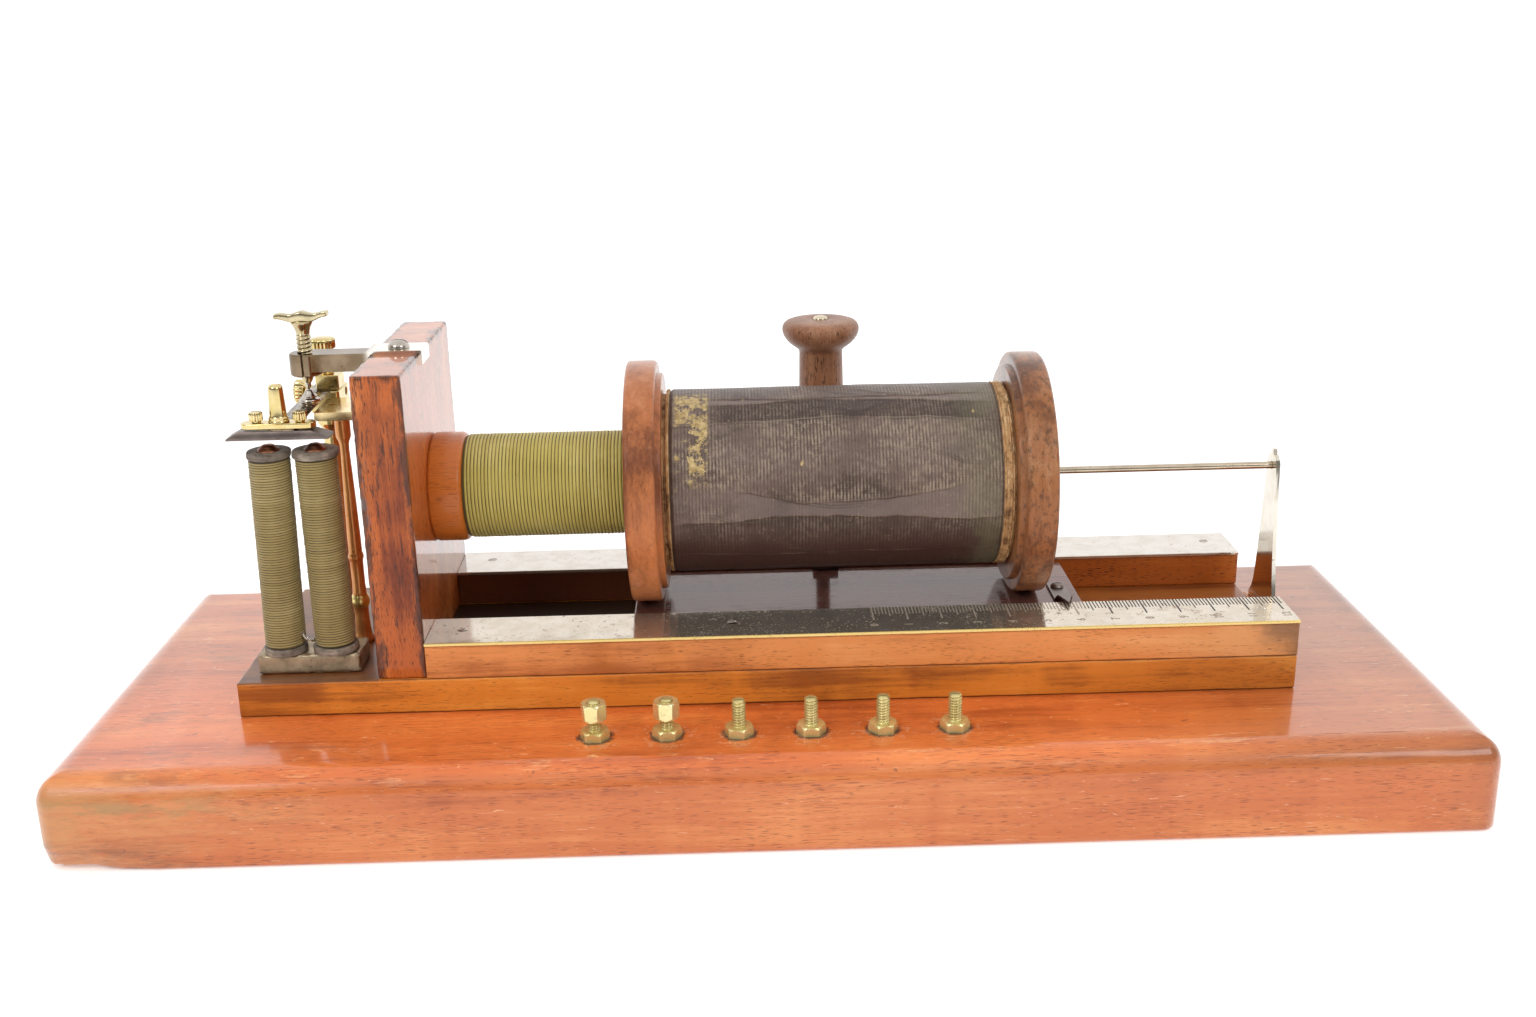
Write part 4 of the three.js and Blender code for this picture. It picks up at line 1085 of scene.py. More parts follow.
# ---- boards ----
def base_board():
    """The base: rounded top edge, rounded corners, a chipped lower corner at the front left."""
    (lx, ly, lz), (hx, hy, hz) = BASE_LO, BASE_HI
    top_r, corner, least = 8.0, 5.0, 0.2
    quarter = math.pi / 2
    rows = [(0.0, 0.9), (0.25, 0.3), (0.7, 0.0)]
    rows += [(z, 0.0) for z in np.linspace(2.2, hz - top_r, 8)]
    rows += [(hz - top_r + top_r * math.sin(a), top_r * (1 - math.cos(a))) for a in np.linspace(0, quarter,
                                                                                                15)[1:]]
    outline = []
    for i, (sx, sy) in enumerate(((1, 1), (-1, 1), (-1, -1), (1, -1))):
        outline += [(sx, sy, math.cos(a), math.sin(a)) for a in np.linspace(i * quarter, (i + 1) * quarter,
                                                                            13)]
    side = []
    for p, q in zip(outline, outline[1:] + outline[:1]):
        n = 90 if p[0] != q[0] else 40 if p[1] != q[1] else 1
        side += [(p, q, t / n) for t in range(n)]
    verts = []
    for z, inset in rows:
        bend = corner - min(inset, corner - least)
        beyond = max(0.0, inset - (corner - least))

        def point(sx, sy, c, s):
            x = (hx - corner if sx > 0 else lx + corner) + c * bend - sx * beyond
            y = (hy - corner if sy > 0 else ly + corner) + s * bend - sy * beyond
            return np.array([x, y])

        verts += [[*(point(*p) * (1 - t) + point(*q) * t), lz + z] for p, q, t in side]
    for v in verts:
        n = noise.fractal(Vector((v[0] * 0.11, v[1] * 0.11, v[2] * 0.22)), 0.7, 2.0, 4)
        # chipped lower front left corner
        d = math.hypot(max(0, v[0] - lx) * 0.33, max(0, v[1] - ly), max(0.0, v[2]) * 1.25) / 9.0
        chip = max(0.0, 1 - d - 0.35 * n)
        v[2] += 2.2 * chip * (v[2] < 8)
        v[0] += 1.4 * chip
        v[1] += 1.6 * chip
        # bruised top front edge
        if v[1] < ly + 12 and v[2] > hz - 8:
            v[2] -= 0.22 * max(0.0, n) ** 1.5
    n = len(side)
    faces = sheet_faces(len(rows), n)
    faces += [tuple(range(n))[::-1], tuple(range((len(rows) - 1) * n, len(rows) * n))]
    look("base_board", (verts, faces), M["base"], 40)


base_board()

# material, edge radius, distance between vertices, wear and its noise scale; the seed is the place in the table
BLOCKS = {
    "frame_board": ("frame", 0.35, 3.0, 0.7, 0.3),
    "rail_front": ("rail", 0.3, 3.0, 0.5, 0.3),
    "rail_rear": ("rail_rear", 0.3, 3.0, 0.5, 0.3),
    "strip_front": ("strip", 0.14, 4.0, 0.3, 0.2),
    "strip_rear": ("strip_rear", 0.14, 4.0, 0.3, 0.2),
    "end_cleat": ("cleat", 0.3, 3.0, 0.5, 0.3),
    "yoke": ("yoke", 0.55, 0.7, 0.7, 0.9),
    "upright": ("upright", 0.42, 1.1, 0.95, 0.45),
}
for seed, (node, (mat, *edges)) in enumerate(BLOCKS.items(), 1):
    look(node, worn_box(*box(node)[:2], *edges, seed), M[mat], 50)
refine("sledge_board", M["sledge"], 0.35)


# ---- scale: millimetre, half and whole centimetre lines with their numbers ----
STRIP_HI = box("strip_front")[1]
PW_LO, PW_HI, PW_C = box("primary_winding")
# the pointer stands at one centimetre when the left flange reaches the primary's first turn
SCALE_0 = box("pointer")[2][0] - (box("flange_left")[0][0] - PW_LO[0]) - 9.95
NUMBERS = 13


def scale_lines():
    """Bars of wax, longer at each half and whole centimetre, and a little uneven."""
    rng = np.random.default_rng(11)
    top, near = STRIP_HI[2], STRIP_HI[1] - 0.25
    last = STRIP_HI[0] - 0.5
    parts = []
    for k in range(int(last - SCALE_0) + 1):
        x = SCALE_0 + k
        length = 10.0 if k % 10 == 0 else 7.1 if k % 5 == 0 else 5.3
        a = np.array([x + rng.normal(0, 0.02), near])
        b = np.array([x + rng.normal(0, 0.03), near - length + rng.normal(0, 0.08)])
        d = b - a
        n = np.array([-d[1], d[0]]) / np.linalg.norm(d) * (0.48 if k % 10 == 0 else 0.36) / 2
        corners = (a + n, a - n, b - n, b + n)
        parts.append(([(*p, top - 0.02) for p in corners] + [(*p, top + 0.03) for p in corners],
                      [(3, 2, 1, 0), (4, 5, 6, 7), (0, 1, 5, 4), (1, 2, 6, 5), (2, 3, 7, 6), (3, 0, 4, 7)]))
    return merge(*parts)


def scale_number(k):
    text = bpy.data.curves.new(f"scale_text_{k}", "FONT")
    text.body = str(k)
    text.size, text.extrude, text.resolution_u, text.offset = 3.5 * MM, 0.02 * MM, 3, 0.07 * MM
    text.align_x, text.align_y = "CENTER", "CENTER"
    ob = place(f"scale_text_{k}", text)
    ob.location = ((SCALE_0 + 10 * k) * MM, (STRIP_HI[1] - 14.2) * MM, (STRIP_HI[2] + 0.012) * MM)
    ob.rotation_euler = (0, 0, math.pi / 2)
    bpy.context.view_layer.update()
    me = bpy.data.meshes.new_from_object(ob)
    number = place(f"scale_number_{k}", me)
    number.matrix_world = ob.matrix_world.copy()
    me.materials.clear()
    me.materials.append(M["ink"])
    bpy.data.objects.remove(ob)
    bpy.data.curves.remove(text)
    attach(number, BODY_OF["strip_front"])


def trim(name, pair, mat, node, sharp=32):
    """A piece that stands for no CAD node, carried by the body of one."""
    ob = solid(name, pair, mat, sharp)
    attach(ob, BODY_OF[node])
    return ob


trim("scale_lines", scale_lines(), M["ink"], "strip_front", 20)
for k in range(NUMBERS):
    scale_number(k)


# ---- screws that hold the strips ----
def strip_screws(node, row, places):
    """Flat heads along a strip: row is a share of its width, places are (share of its length, turn) pairs."""
    lo, hi, _ = box(node)
    r, proud, top = 1.5, 0.12, hi[2]
    head = raised([(0, -0.3), (r + 0.05, -0.3), (r, 0), (r * 0.93, proud * 0.6), (r * 0.7, proud),
                   (0, proud)], top)
    for i, (share, turn) in enumerate(places):
        ob = solid(f"strip_screw_{node.split('_')[1]}_{i}", revolve(head, 40), M["steel"])
        slot_across(ob, (0, 0), r * 1.2, 0.22, top - 0.22, top + 1)
        at = (lo[0] + share * (hi[0] - lo[0]), lo[1] + row * (hi[1] - lo[1]), 0)
        ob.matrix_world = Matrix.Translation([c * MM for c in at]) @ Matrix.Rotation(turn, 4, "Z")
        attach(ob, BODY_OF[node])


strip_screws("strip_front", 0.52, ((0.038, 0.9), (0.35, 0.3), (0.967, 1.2)))
strip_screws("strip_rear", 0.6, ((0.039, 0.5), (0.5, 1.4), (0.967, 0.2)))


# ---- coils ----
def wound(node, pair, axis, at, r, depth, mat, moved=None):
    """A winding; each vertex knows how far it stands above the gap between two turns."""
    across = [i for i in range(3) if "xyz"[i] != axis]
    off = np.array(pair[0])[:, across] - np.array(at)[across]
    ob = look(node, moved(pair) if moved else pair, mat, 60)
    paint(ob, "crown", np.clip((np.hypot(*off.T) - (r - depth)) / depth, 0, 1))


def primary():
    lo, hi, _ = box("primary_spool")
    at = (0, PW_C[1], PW_C[2])
    winding_r = (PW_HI[2] - PW_LO[2]) / 2
    wall, w0, w1 = box("upright")[1][0], PW_LO[0] - 0.05, PW_HI[0] + 0.05
    r = (hi[2] - lo[2]) / 2
    foot, start = (10.1, wall - 0.02), (r - 0.15, wall + 0.5)
    prof = [(9.5, lo[0]), (10.1, lo[0]), foot, *fillet(foot, (r - 0.7, wall), start, 0.12), start,
            (r, wall + 0.9), (r, w0 - 1.6), (r - 0.25, w0 - 0.85), (r - 0.8, w0 - 0.25), (r - 1.5, w0),
            (12.6, w0), (12.6, w1), (winding_r, w1), (winding_r, hi[0] - 0.6), (winding_r - 0.6, hi[0]),
            (9.5, hi[0]), (9.5, lo[0])]
    look("primary_spool", revolve(prof, 96, "x", at), M["spool"], 40)
    turns = helix_skin(winding_r, w0 + 0.02, w1 - 0.02, PRIMARY_PITCH, PRIMARY_GAP, 96, 8, "x", at,
                       jitter=0.03, seed=5, bore=12.65)
    wound("primary_winding", turns, "x", at, winding_r, PRIMARY_GAP, M["silk_x"])


primary()


def core_wires():
    """The core is a bundle of soft iron wires."""
    lo, hi, c = box("iron_core")
    core_r = (hi[1] - lo[1]) / 2
    r, reach = 0.78, 14
    parts, rng = [], np.random.default_rng(3)
    for i in range(-reach, reach + 1):
        for j in range(-reach, reach + 1):
            y, z = (i + 0.5 * (j % 2)) * 2 * r, j * math.sqrt(3) * r
            if math.hypot(y, z) > core_r - r:
                continue
            a, b = lo[0] + rng.uniform(0, 0.5), hi[0] - rng.uniform(0, 0.5)
            prof = [(0, a), (r * 0.7, a), (r * 0.98, a + 0.25), (r * 0.98, b - 0.25), (r * 0.7, b), (0, b)]
            parts.append(revolve(prof, 10, "x", (0, c[1] + y, c[2] + z)))
    look("iron_core", merge(*parts), M["iron"])


core_wires()


# ---- support rod and end bracket ----
def rod_and_bracket():
    lo, hi, _ = box("end_bracket")
    rod_c = box("support_rod")[2]
    face, end = hi[0] - box("support_rod")[0][0], length_of("support_rod", "x")
    turned("support_rod", [(0, 0), (1.08, 0.1), (1.08, face), (2.0, face + 0.02), (2.0, face + 0.55),
                           (1.75, face + 0.85), (1.15, face + 1.2), (0.6, end - 0.03), (0, end)],
           M["rod"], 40, 40, "x")
    refine("end_bracket", M["bracket"], 0.18)
    head = raised([(0, -0.1), (1.9, -0.1), (1.9, 0.2), (1.5, 0.75), (0.8, 1.0), (0, 1.05)], hi[0])
    for i, dy in enumerate((-7.5, 7.5)):
        y, z = rod_c[1] + dy, lo[2] + 4.2
        ob = trim(f"bracket_screw_{i}", revolve(head, 36, "x", (0, y, z)), M["brass"], "end_bracket")
        slotted(ob, (hi[0] + 0.5, y - 3, z - 0.25), (hi[0] + 2, y + 3, z + 0.25))


rod_and_bracket()


# ---- electromagnet ----
# the left bobbin leans towards the right one by this much over its height, and has the smaller cheeks
LEAN, SMALLER = 1.5, 0.4


def magnet(side):
    lo, hi, c = box(f"magnet_core_{side}")
    slo, shi, _ = box(f"magnet_spool_{side}")
    wlo, whi, _ = box(f"magnet_winding_{side}")
    at = (c[0], c[1], 0)
    z0, top = slo[2], shi[2]
    left = side == "left"

    def lean(pair):
        v, f = pair
        return ([(x + LEAN * (z - lo[2]) / (hi[2] - lo[2]), y, z) for x, y, z in v], f) if left else pair

    cone = [(0, lo[2]), (3.15, lo[2]), (3.15, top + 0.05), (3.0, top + 0.25), (2.5, top + 0.55),
            (1.95, hi[2] - 0.55), (1.6, hi[2] - 0.25), (1.15, hi[2] - 0.06), (0, hi[2])]
    worn = lambda r, z, a: r + 0.08 * np.sin(a * 3 + z) * (z > top) * (r < 2.8)
    look(f"magnet_core_{side}", lean(revolve(cone, 48, "z", at, worn)), M["pole"], 40)
    r = (shi[0] - slo[0]) / 2 - (SMALLER if left else 0)
    prof = raised([(3.25, 0), (r - 0.35, 0), (r - 0.1, 0.12), (r, 0.4), (r, 1.65), (r - 0.12, 1.95),
                   (r - 0.4, 2.1), (4, 2.1)], z0)
    prof += raised([(4, -2.0), (r - 0.45, -2.0), (r - 0.12, -1.85), (r, -1.5), (r, -0.45), (r - 0.15, -0.12),
                    (r - 0.5, 0), (3.3, 0), (3.25, -0.2)], top)
    dented = lambda q, z, a: q + 0.05 * np.sin(5 * a + z * 2) * (q > 5)
    look(f"magnet_spool_{side}", lean(revolve(prof + prof[:1], 64, "z", at, dented)), M["cheek"], 40)
    r = (whi[0] - wlo[0]) / 2
    turns = helix_skin(r, wlo[2], whi[2], MAGNET_PITCH, MAGNET_GAP, 72, 8, "z", at,
                       jitter=0.03, seed=7 if left else 8, bore=4.05)
    wound(f"magnet_winding_{side}", turns, "z", at, r, MAGNET_GAP, M["silk_z"], lean)


magnet("left")
magnet("right")


def link_wires():
    """Two bare ends twisted between the bobbins."""
    lo, hi, c = box("link_wire")
    a = np.array([lo[0] - 0.6, c[1] + 0.5, hi[2] + 0.6])
    b = np.array([hi[0] + 0.6, c[1] + 0.7, lo[2] + 0.2])
    parts = []
    for phase in (0, math.pi):
        path = []
        for t in np.linspace(0, 1, 7):
            turn, sag = t * 3 * math.pi + phase, math.sin(math.pi * t)
            twist = (0, 0.32 * math.cos(turn) - 1.5 * sag, 0.32 * math.sin(turn) - 0.5 * sag)
            path.append(a * (1 - t) + b * t + twist)
        parts.append(tube(spline(path), 0.26, 10))
    look("link_wire", merge(*parts), M["steel"], 60)


link_wires()


# ---- hammer ----
refine("armature", M["iron"], 0.12)
refine("armature_clamp", M["brass"], 0.4, 4)
for side in ("left", "right"):
    node = f"clamp_screw_{side}"
    prof = [(0, 0), (1.3, 0), (1.3, 0.45), (1.75, 0.5), (1.9, 0.7), (1.9, 2.5), (1.75, 2.8), (1.45, 3.0),
            (0, 3.0)]
    ob = turned(node, prof, M["brass"], 40, 144, radius=knurl(1.9, 18, 0.22))
    lo, _, c = box(node)
    slot_across(ob, c, 3, 0.2, lo[2] + 2.35, lo[2] + 4)
h = length_of("hammer_post")
turned("hammer_post", [(0, 0), (2.7, 0), (2.9, 0.15), (2.9, 0.45), (2.65, 0.75), (2.75, 1.0), (2.75, 1.25),
                       (2.45, 1.6), (2.35, 2.0), (2.25, 4.5), (2.12, 7.5), (2.02, 9.5), (1.95, 9.9),
                       (1.7, h - 0.4), (1.2, h - 0.12), (0.6, h - 0.02), (0, h)], M["brass"])
turned("anvil", [(0, 0), (2.4, 0), (2.5, 0.2), (2.55, 0.6), (2.9, 0.85), (3.1, 1.1), (3.1, 1.7), (2.85, 2.0),
                 (2.3, 2.2), (2.15, 2.4), (2.2, 2.75), (1.9, 3.1), (1.35, 3.8), (1.1, 4.35), (0.85, 4.58),
                 (0, 4.6)], M["steel"])


def leaf():
    """The spring, cut into short strips so that it can bend between its block and the hammer."""
    def strips(bm):
        bmesh.ops.triangulate(bm, faces=bm.faces)
        for y in range(2, 18):
            bmesh.ops.bisect_plane(bm, geom=bm.verts[:] + bm.edges[:] + bm.faces[:], plane_co=(0, y * MM, 0),
                                   plane_no=(0, 1, 0))

    ob = refine("leaf_spring", M["blued"], 0.06, 2, ride=False)
    bake(ob, 30)
    edit(ob.data, strips)
    soften(ob.data, 30)
    joint_y = next(j for j in frame["joints"] if j["name"] == "hammer_swing")["pos_m"][1]
    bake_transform(ob, "frame", "hammer", start=(0, joint_y + 4 * MM, 0), end=(0, joint_y - 6 * MM, 0))


leaf()


# ---- contact arm, contact screw and point ----
def strap_screw():
    head = 7.9
    prof = [(0, 0), (1.35, 0)] + raised([(1.35, 0), (3.0, 0.02), (3.1, 0.15), (3.1, 0.5), (2.95, 1.0),
                                         (2.55, 1.6), (1.9, 2.1), (1.1, 2.35), (0, 2.4)], head)
    ob = turned("strap_screw", prof, M["steel"], 50)
    lo, _, c = box("strap_screw")
    slot_across(ob, c, 4, 0.4, lo[2] + head + 1.35, lo[2] + head + 4)


refine("contact_arm", M["arm_brass"], 0.28)
strap_screw()


def butterfly(c, z0):
    """The contact screw's wing: a flat-sided bar, thick at the middle, curling up at its tips."""
    cols, verts = 24, []
    xs = np.concatenate([np.linspace(-7.9, -7.3, 5), np.linspace(-7.0, 6.9, 34), np.linspace(7.2, 7.8, 5)])
    squared = lambda v: math.copysign(abs(v) ** 0.35, v)
    for x in xs:
        t = abs(x) / 7.9
        middle = z0 + 1.35 + (0.95 if x > 0 else 0.40) * t ** 2 + 0.22 * math.cos(x)
        tip = 1 - max(0.0, (t - 0.92) / 0.08) ** 2
        thick = (0.95 * (1 - t) ** 1.5 + 0.72) * math.sqrt(max(0.06, tip))
        wide = (1.75 + 0.25 * math.cos(x * 0.8)) * math.sqrt(max(0.15, tip))
        verts += [(c[0] + x, c[1] + wide * squared(math.cos(a)), middle + thick * squared(math.sin(a)))
                  for a in angles(cols)]
    faces = sheet_faces(len(xs), cols)
    faces += [tuple(range(cols))[::-1], tuple(range((len(xs) - 1) * cols, len(xs) * cols))]
    return verts, faces


def contact_screw():
    lo, hi, _ = box("contact_screw")
    z0 = lo[2]
    at = (*box("anvil")[2][:2], 0)
    cone = revolve(raised([(0, 0), (1.05, 0), (1.15, 0.15), (1.85, 1.75), (1.85, 2.4), (0, 2.4)], z0), 48,
                   at=at)
    thread = helix_skin(2.2, z0 + 2.0, z0 + 14.6, 1.2, 0.36, 64, 12, "z", at, "vee", fade=0.8)
    neck = revolve(raised([(0, 14.3), (1.9, 14.3), (2.0, 14.8), (2.1, 15.4), (2.35, 16.1), (2.75, 16.9),
                           (3.1, 17.5), (3.15, 17.8), (3.0, 18.0), (2.4, 18.3), (0, 18.4)], z0), 56, at=at)
    v, f = merge(cone, thread, neck, butterfly(at, hi[2] - 3.4))
    look("contact_screw", ([(x, y, min(z, hi[2] - 0.01)) for x, y, z in v], f), M["screw_brass"], 45)


contact_screw()
h = length_of("contact_point")
turned("contact_point", [(0, 0), (0.25, 0.02), (0.42, 0.15), (0.62, 0.5), (0.8, 0.9), (0.8, h), (0, h)],
       M["steel"], 40, 32)


# ---- pillars ----
h = length_of("front_pillar")
turned("front_pillar",
       [(0, 0), (3.0, 0), (3.15, 0.3), (3.2, 1.0), (2.85, 1.6), (2.6, 2.1), (2.4, 3.4), (2.25, 5.0),
        (2.15, 8.8), (2.1, 10.9), (2.35, 11.4), (2.65, 12.0), (2.8, 13.0), (2.72, 14.0), (2.4, 14.8),
        (2.1, 15.3), (2.05, 16.8), (1.92, 18.5), (1.95, 25.8), (2.15, 26.5), (2.3, 26.9), (2.3, 27.6),
        (2.1, 28.1), (1.97, 28.6), (1.95, 33.5), (1.85, 38), (1.7, 45.5), (1.5, 53), (1.27, 60.5),
        (1.35, 62), (1.6, 63.1), (2.0, 64), (2.2, 64.7), (2.2, h), (0, h)], M["bronze"], 50)
h = length_of("rear_pillar")
t = box("spring_block")[0][2] - box("rear_pillar")[0][2]
turned("rear_pillar", [(0, 0), (4.9, 0), (5, 0.3), (5, 1.1), (4.6, 1.6), (4, 2.2), (3.3, 2.9), (3, 3.8),
                       (2.9, 10), (2.8, 24), (2.6, 50), (2.5, t - 7), (2.8, t - 6), (3.3, t - 5),
                       (3.8, t - 4.4), (3.9, t - 4), (3.9, t - 1.2), (3.8, t - 0.6), (3.4, t - 0.02),
                       (1.4, t), (1.4, h), (0, h)], M["brass"], 50)
refine("lower_arm", M["shelf"], 0.22)
refine("spring_block", M["brass"], 0.35)
refine("spring_clamp", M["brass"], 0.35)
h = length_of("spring_nut")
turned("spring_nut", [(1.5, 0), (2.5, 0), (2.6, 0.12), (2.6, 0.9), (2.4, 1.3), (2.1, 1.6), (2.05, h - 4.7),
                      (2.3, h - 4.2), (3.0, h - 3.7), (3.55, h - 3.5), (3.8, h - 3.25), (3.8, h - 0.9),
                      (3.6, h - 0.55), (3.1, h - 0.3), (1.6, h - 0.08), (0, h)], M["brass"], 40, 176,
       radius=knurl(3.8, 22, 0.3))
h = length_of("cross_screw", "x")
turned("cross_screw", [(0, 0), (2.4, 0.02), (3.3, 0.12), (3.7, 0.4), (3.8, 0.7), (3.8, 2.6), (3.65, 2.9),
                       (3.2, 3.2), (2.2, 3.5), (2.0, 3.9), (2.0, 5.55), (1.2, 5.6), (1.2, h - 0.5),
                       (0.8, h - 0.05), (0, h)], M["brass"], 40, 176, "x", knurl(3.8, 22, 0.3))


# ---- secondary coil ----
def outer_end(node, side):
    """Where a coil end's outer face is along X, and which way is inwards."""
    lo, hi, _ = box(node)
    return (lo[0], 1) if side == "left" else (hi[0], -1)


def flange(side):
    node = f"flange_{side}"
    r = length_of(node) / 2
    prof = [(19.55, 0), (19.8, 0), (r - 1.3, 0), (r - 0.65, 0.12), (r - 0.18, 0.5), (r, 1.2), (r, 7.8),
            (r - 0.18, 8.5), (r - 0.65, 8.9), (r - 1.3, 9.0), (r - 3.95, 9.0), (r - 4.0, 9.15),
            (r - 4.05, 10.2), (r - 4.3, 10.55), (r - 4.7, 10.6), (19.55, 10.6), (19.55, 0)]
    worn = lambda q, x, a: q + (q > r - 1.5) * (0.10 * (np.sin(a * 2 + 1) + 0.5 * np.sin(a * 7 + x)) - 0.16)
    _, y, z = box(node)[2]
    look(node, revolve(raised(prof, *outer_end(node, side)), 180, "x", (0, y, z), worn), M["flange"], 40)


flange("left")
flange("right")

# the right end ring stands out from under the cloth by this much
RING_SHOWS = 1.6


def end_ring(side, gap):
    """Torn layers of card; gap is the share of its width at which the ring steps outwards."""
    node = f"end_ring_{side}"
    r, w = length_of(node) / 2, length_of(node, "x") + (RING_SHOWS if side == "right" else 0)
    prof = [(19.5, 0), (r - 1.5, 0), (r - 1.5, w * gap), (r - 0.5, w * gap + 0.05),
            (r - 0.1, w * gap + 0.25), (r - 0.25, w * (gap + 0.2)), (r, w * (gap + 0.25)),
            (r - 0.3, w * 0.82), (r - 0.05, w * 0.88), (r - 0.2, w), (19.5, w), (19.5, 0)]
    ragged = lambda q, x, a: q - (q > r - 1) * (0.16 + 0.16 * np.sin(a * 23 + x * 3) * np.sin(a * 5 + 1)
                                                + 0.12 * np.sin(a * 61 + x * 9))
    _, y, z = box(node)[2]
    look(node, revolve(raised(prof, *outer_end(node, side)), 256, "x", (0, y, z), ragged), M["card"], 50)


h = length_of("secondary_tube", "x")
turned("secondary_tube",
       [(18.2, 0.15), (18.35, 0), (19.3, 0), (19.4, 0.15), (19.4, h - 0.15), (19.3, h), (18.35, h),
        (18.2, h - 0.15), (18.2, 0.15)], M["paper_tube"], 40, 96, "x")
end_ring("left", 0.48)
end_ring("right", 0.14)
lo, hi, c = box("secondary_winding")
look("secondary_winding",
     helix_skin((hi[2] - lo[2]) / 2, lo[0], hi[0], 1.4, 0.25, 48, 4, "x", (0, c[1], c[2]), bore=19.5),
     M["copper"], 60)

# each lap of the cloth: angle from the top towards the front, sag, start, end, lip height, reach, phase, and
# the glaze and dirt of the panel that follows it
LAPS = (
    (13, 4, 0.03, 0.97, 0.30, 7, 0.3, 0.85, 0.05),
    (23, -4, 0.06, 0.99, 0.22, 4, 1.4, 0.05, 0.85),
    (39, -3, -0.1, 1.1, 0.20, 5, 1.0, 0.12, 0.10),
    (78, 11, 0.16, 0.90, 0.34, 9, 0.0, 1.0, 0.12),
    (101, -3, -0.05, 1.04, 0.30, 6, 2.0, 0.05, 0.80),
    (123, 4, 0.02, 1.0, 0.30, 8, 0.7, 0.7, 1.0),
    (150, -4, 0.0, 0.94, 0.26, 7, 1.6, 0.3, 0.9),
    (181, 5, 0.05, 1.04, 0.24, 8, 2.6, 0.7, 0.5),
    (212, -5, 0.0, 0.96, 0.28, 7, 0.2, 0.1, 0.2),
    (243, 4, -0.05, 0.95, 0.22, 6, 1.1, 0.9, 0.1),
    (275, 6, 0.05, 0.94, 0.28, 9, 2.9, 0.2, 0.4),
    (305, -4, 0.0, 1.05, 0.22, 6, 0.5, 0.8, 0.1),
    (336, 3, -0.04, 0.98, 0.24, 7, 1.9, 0.3, 0.3),
)
# oblique pulls in the cloth: share of the length and angle where each starts and ends
PULLS = ((0.40, 3, 0.58, 15), (0.54, 4, 0.73, 17), (0.66, 22, 0.52, 33), (0.78, 60, 0.94, 70),
         (0.08, 96, 0.30, 103), (0.34, 121, 0.56, 131), (0.24, 41, 0.06, 52), (0.30, 88, 0.62, 93),
         (0.15, 190, 0.4, 204), (0.6, 220, 0.85, 236), (0.3, 255, 0.5, 268), (0.7, 290, 0.5, 301),
         (0.1, 320, 0.3, 333))


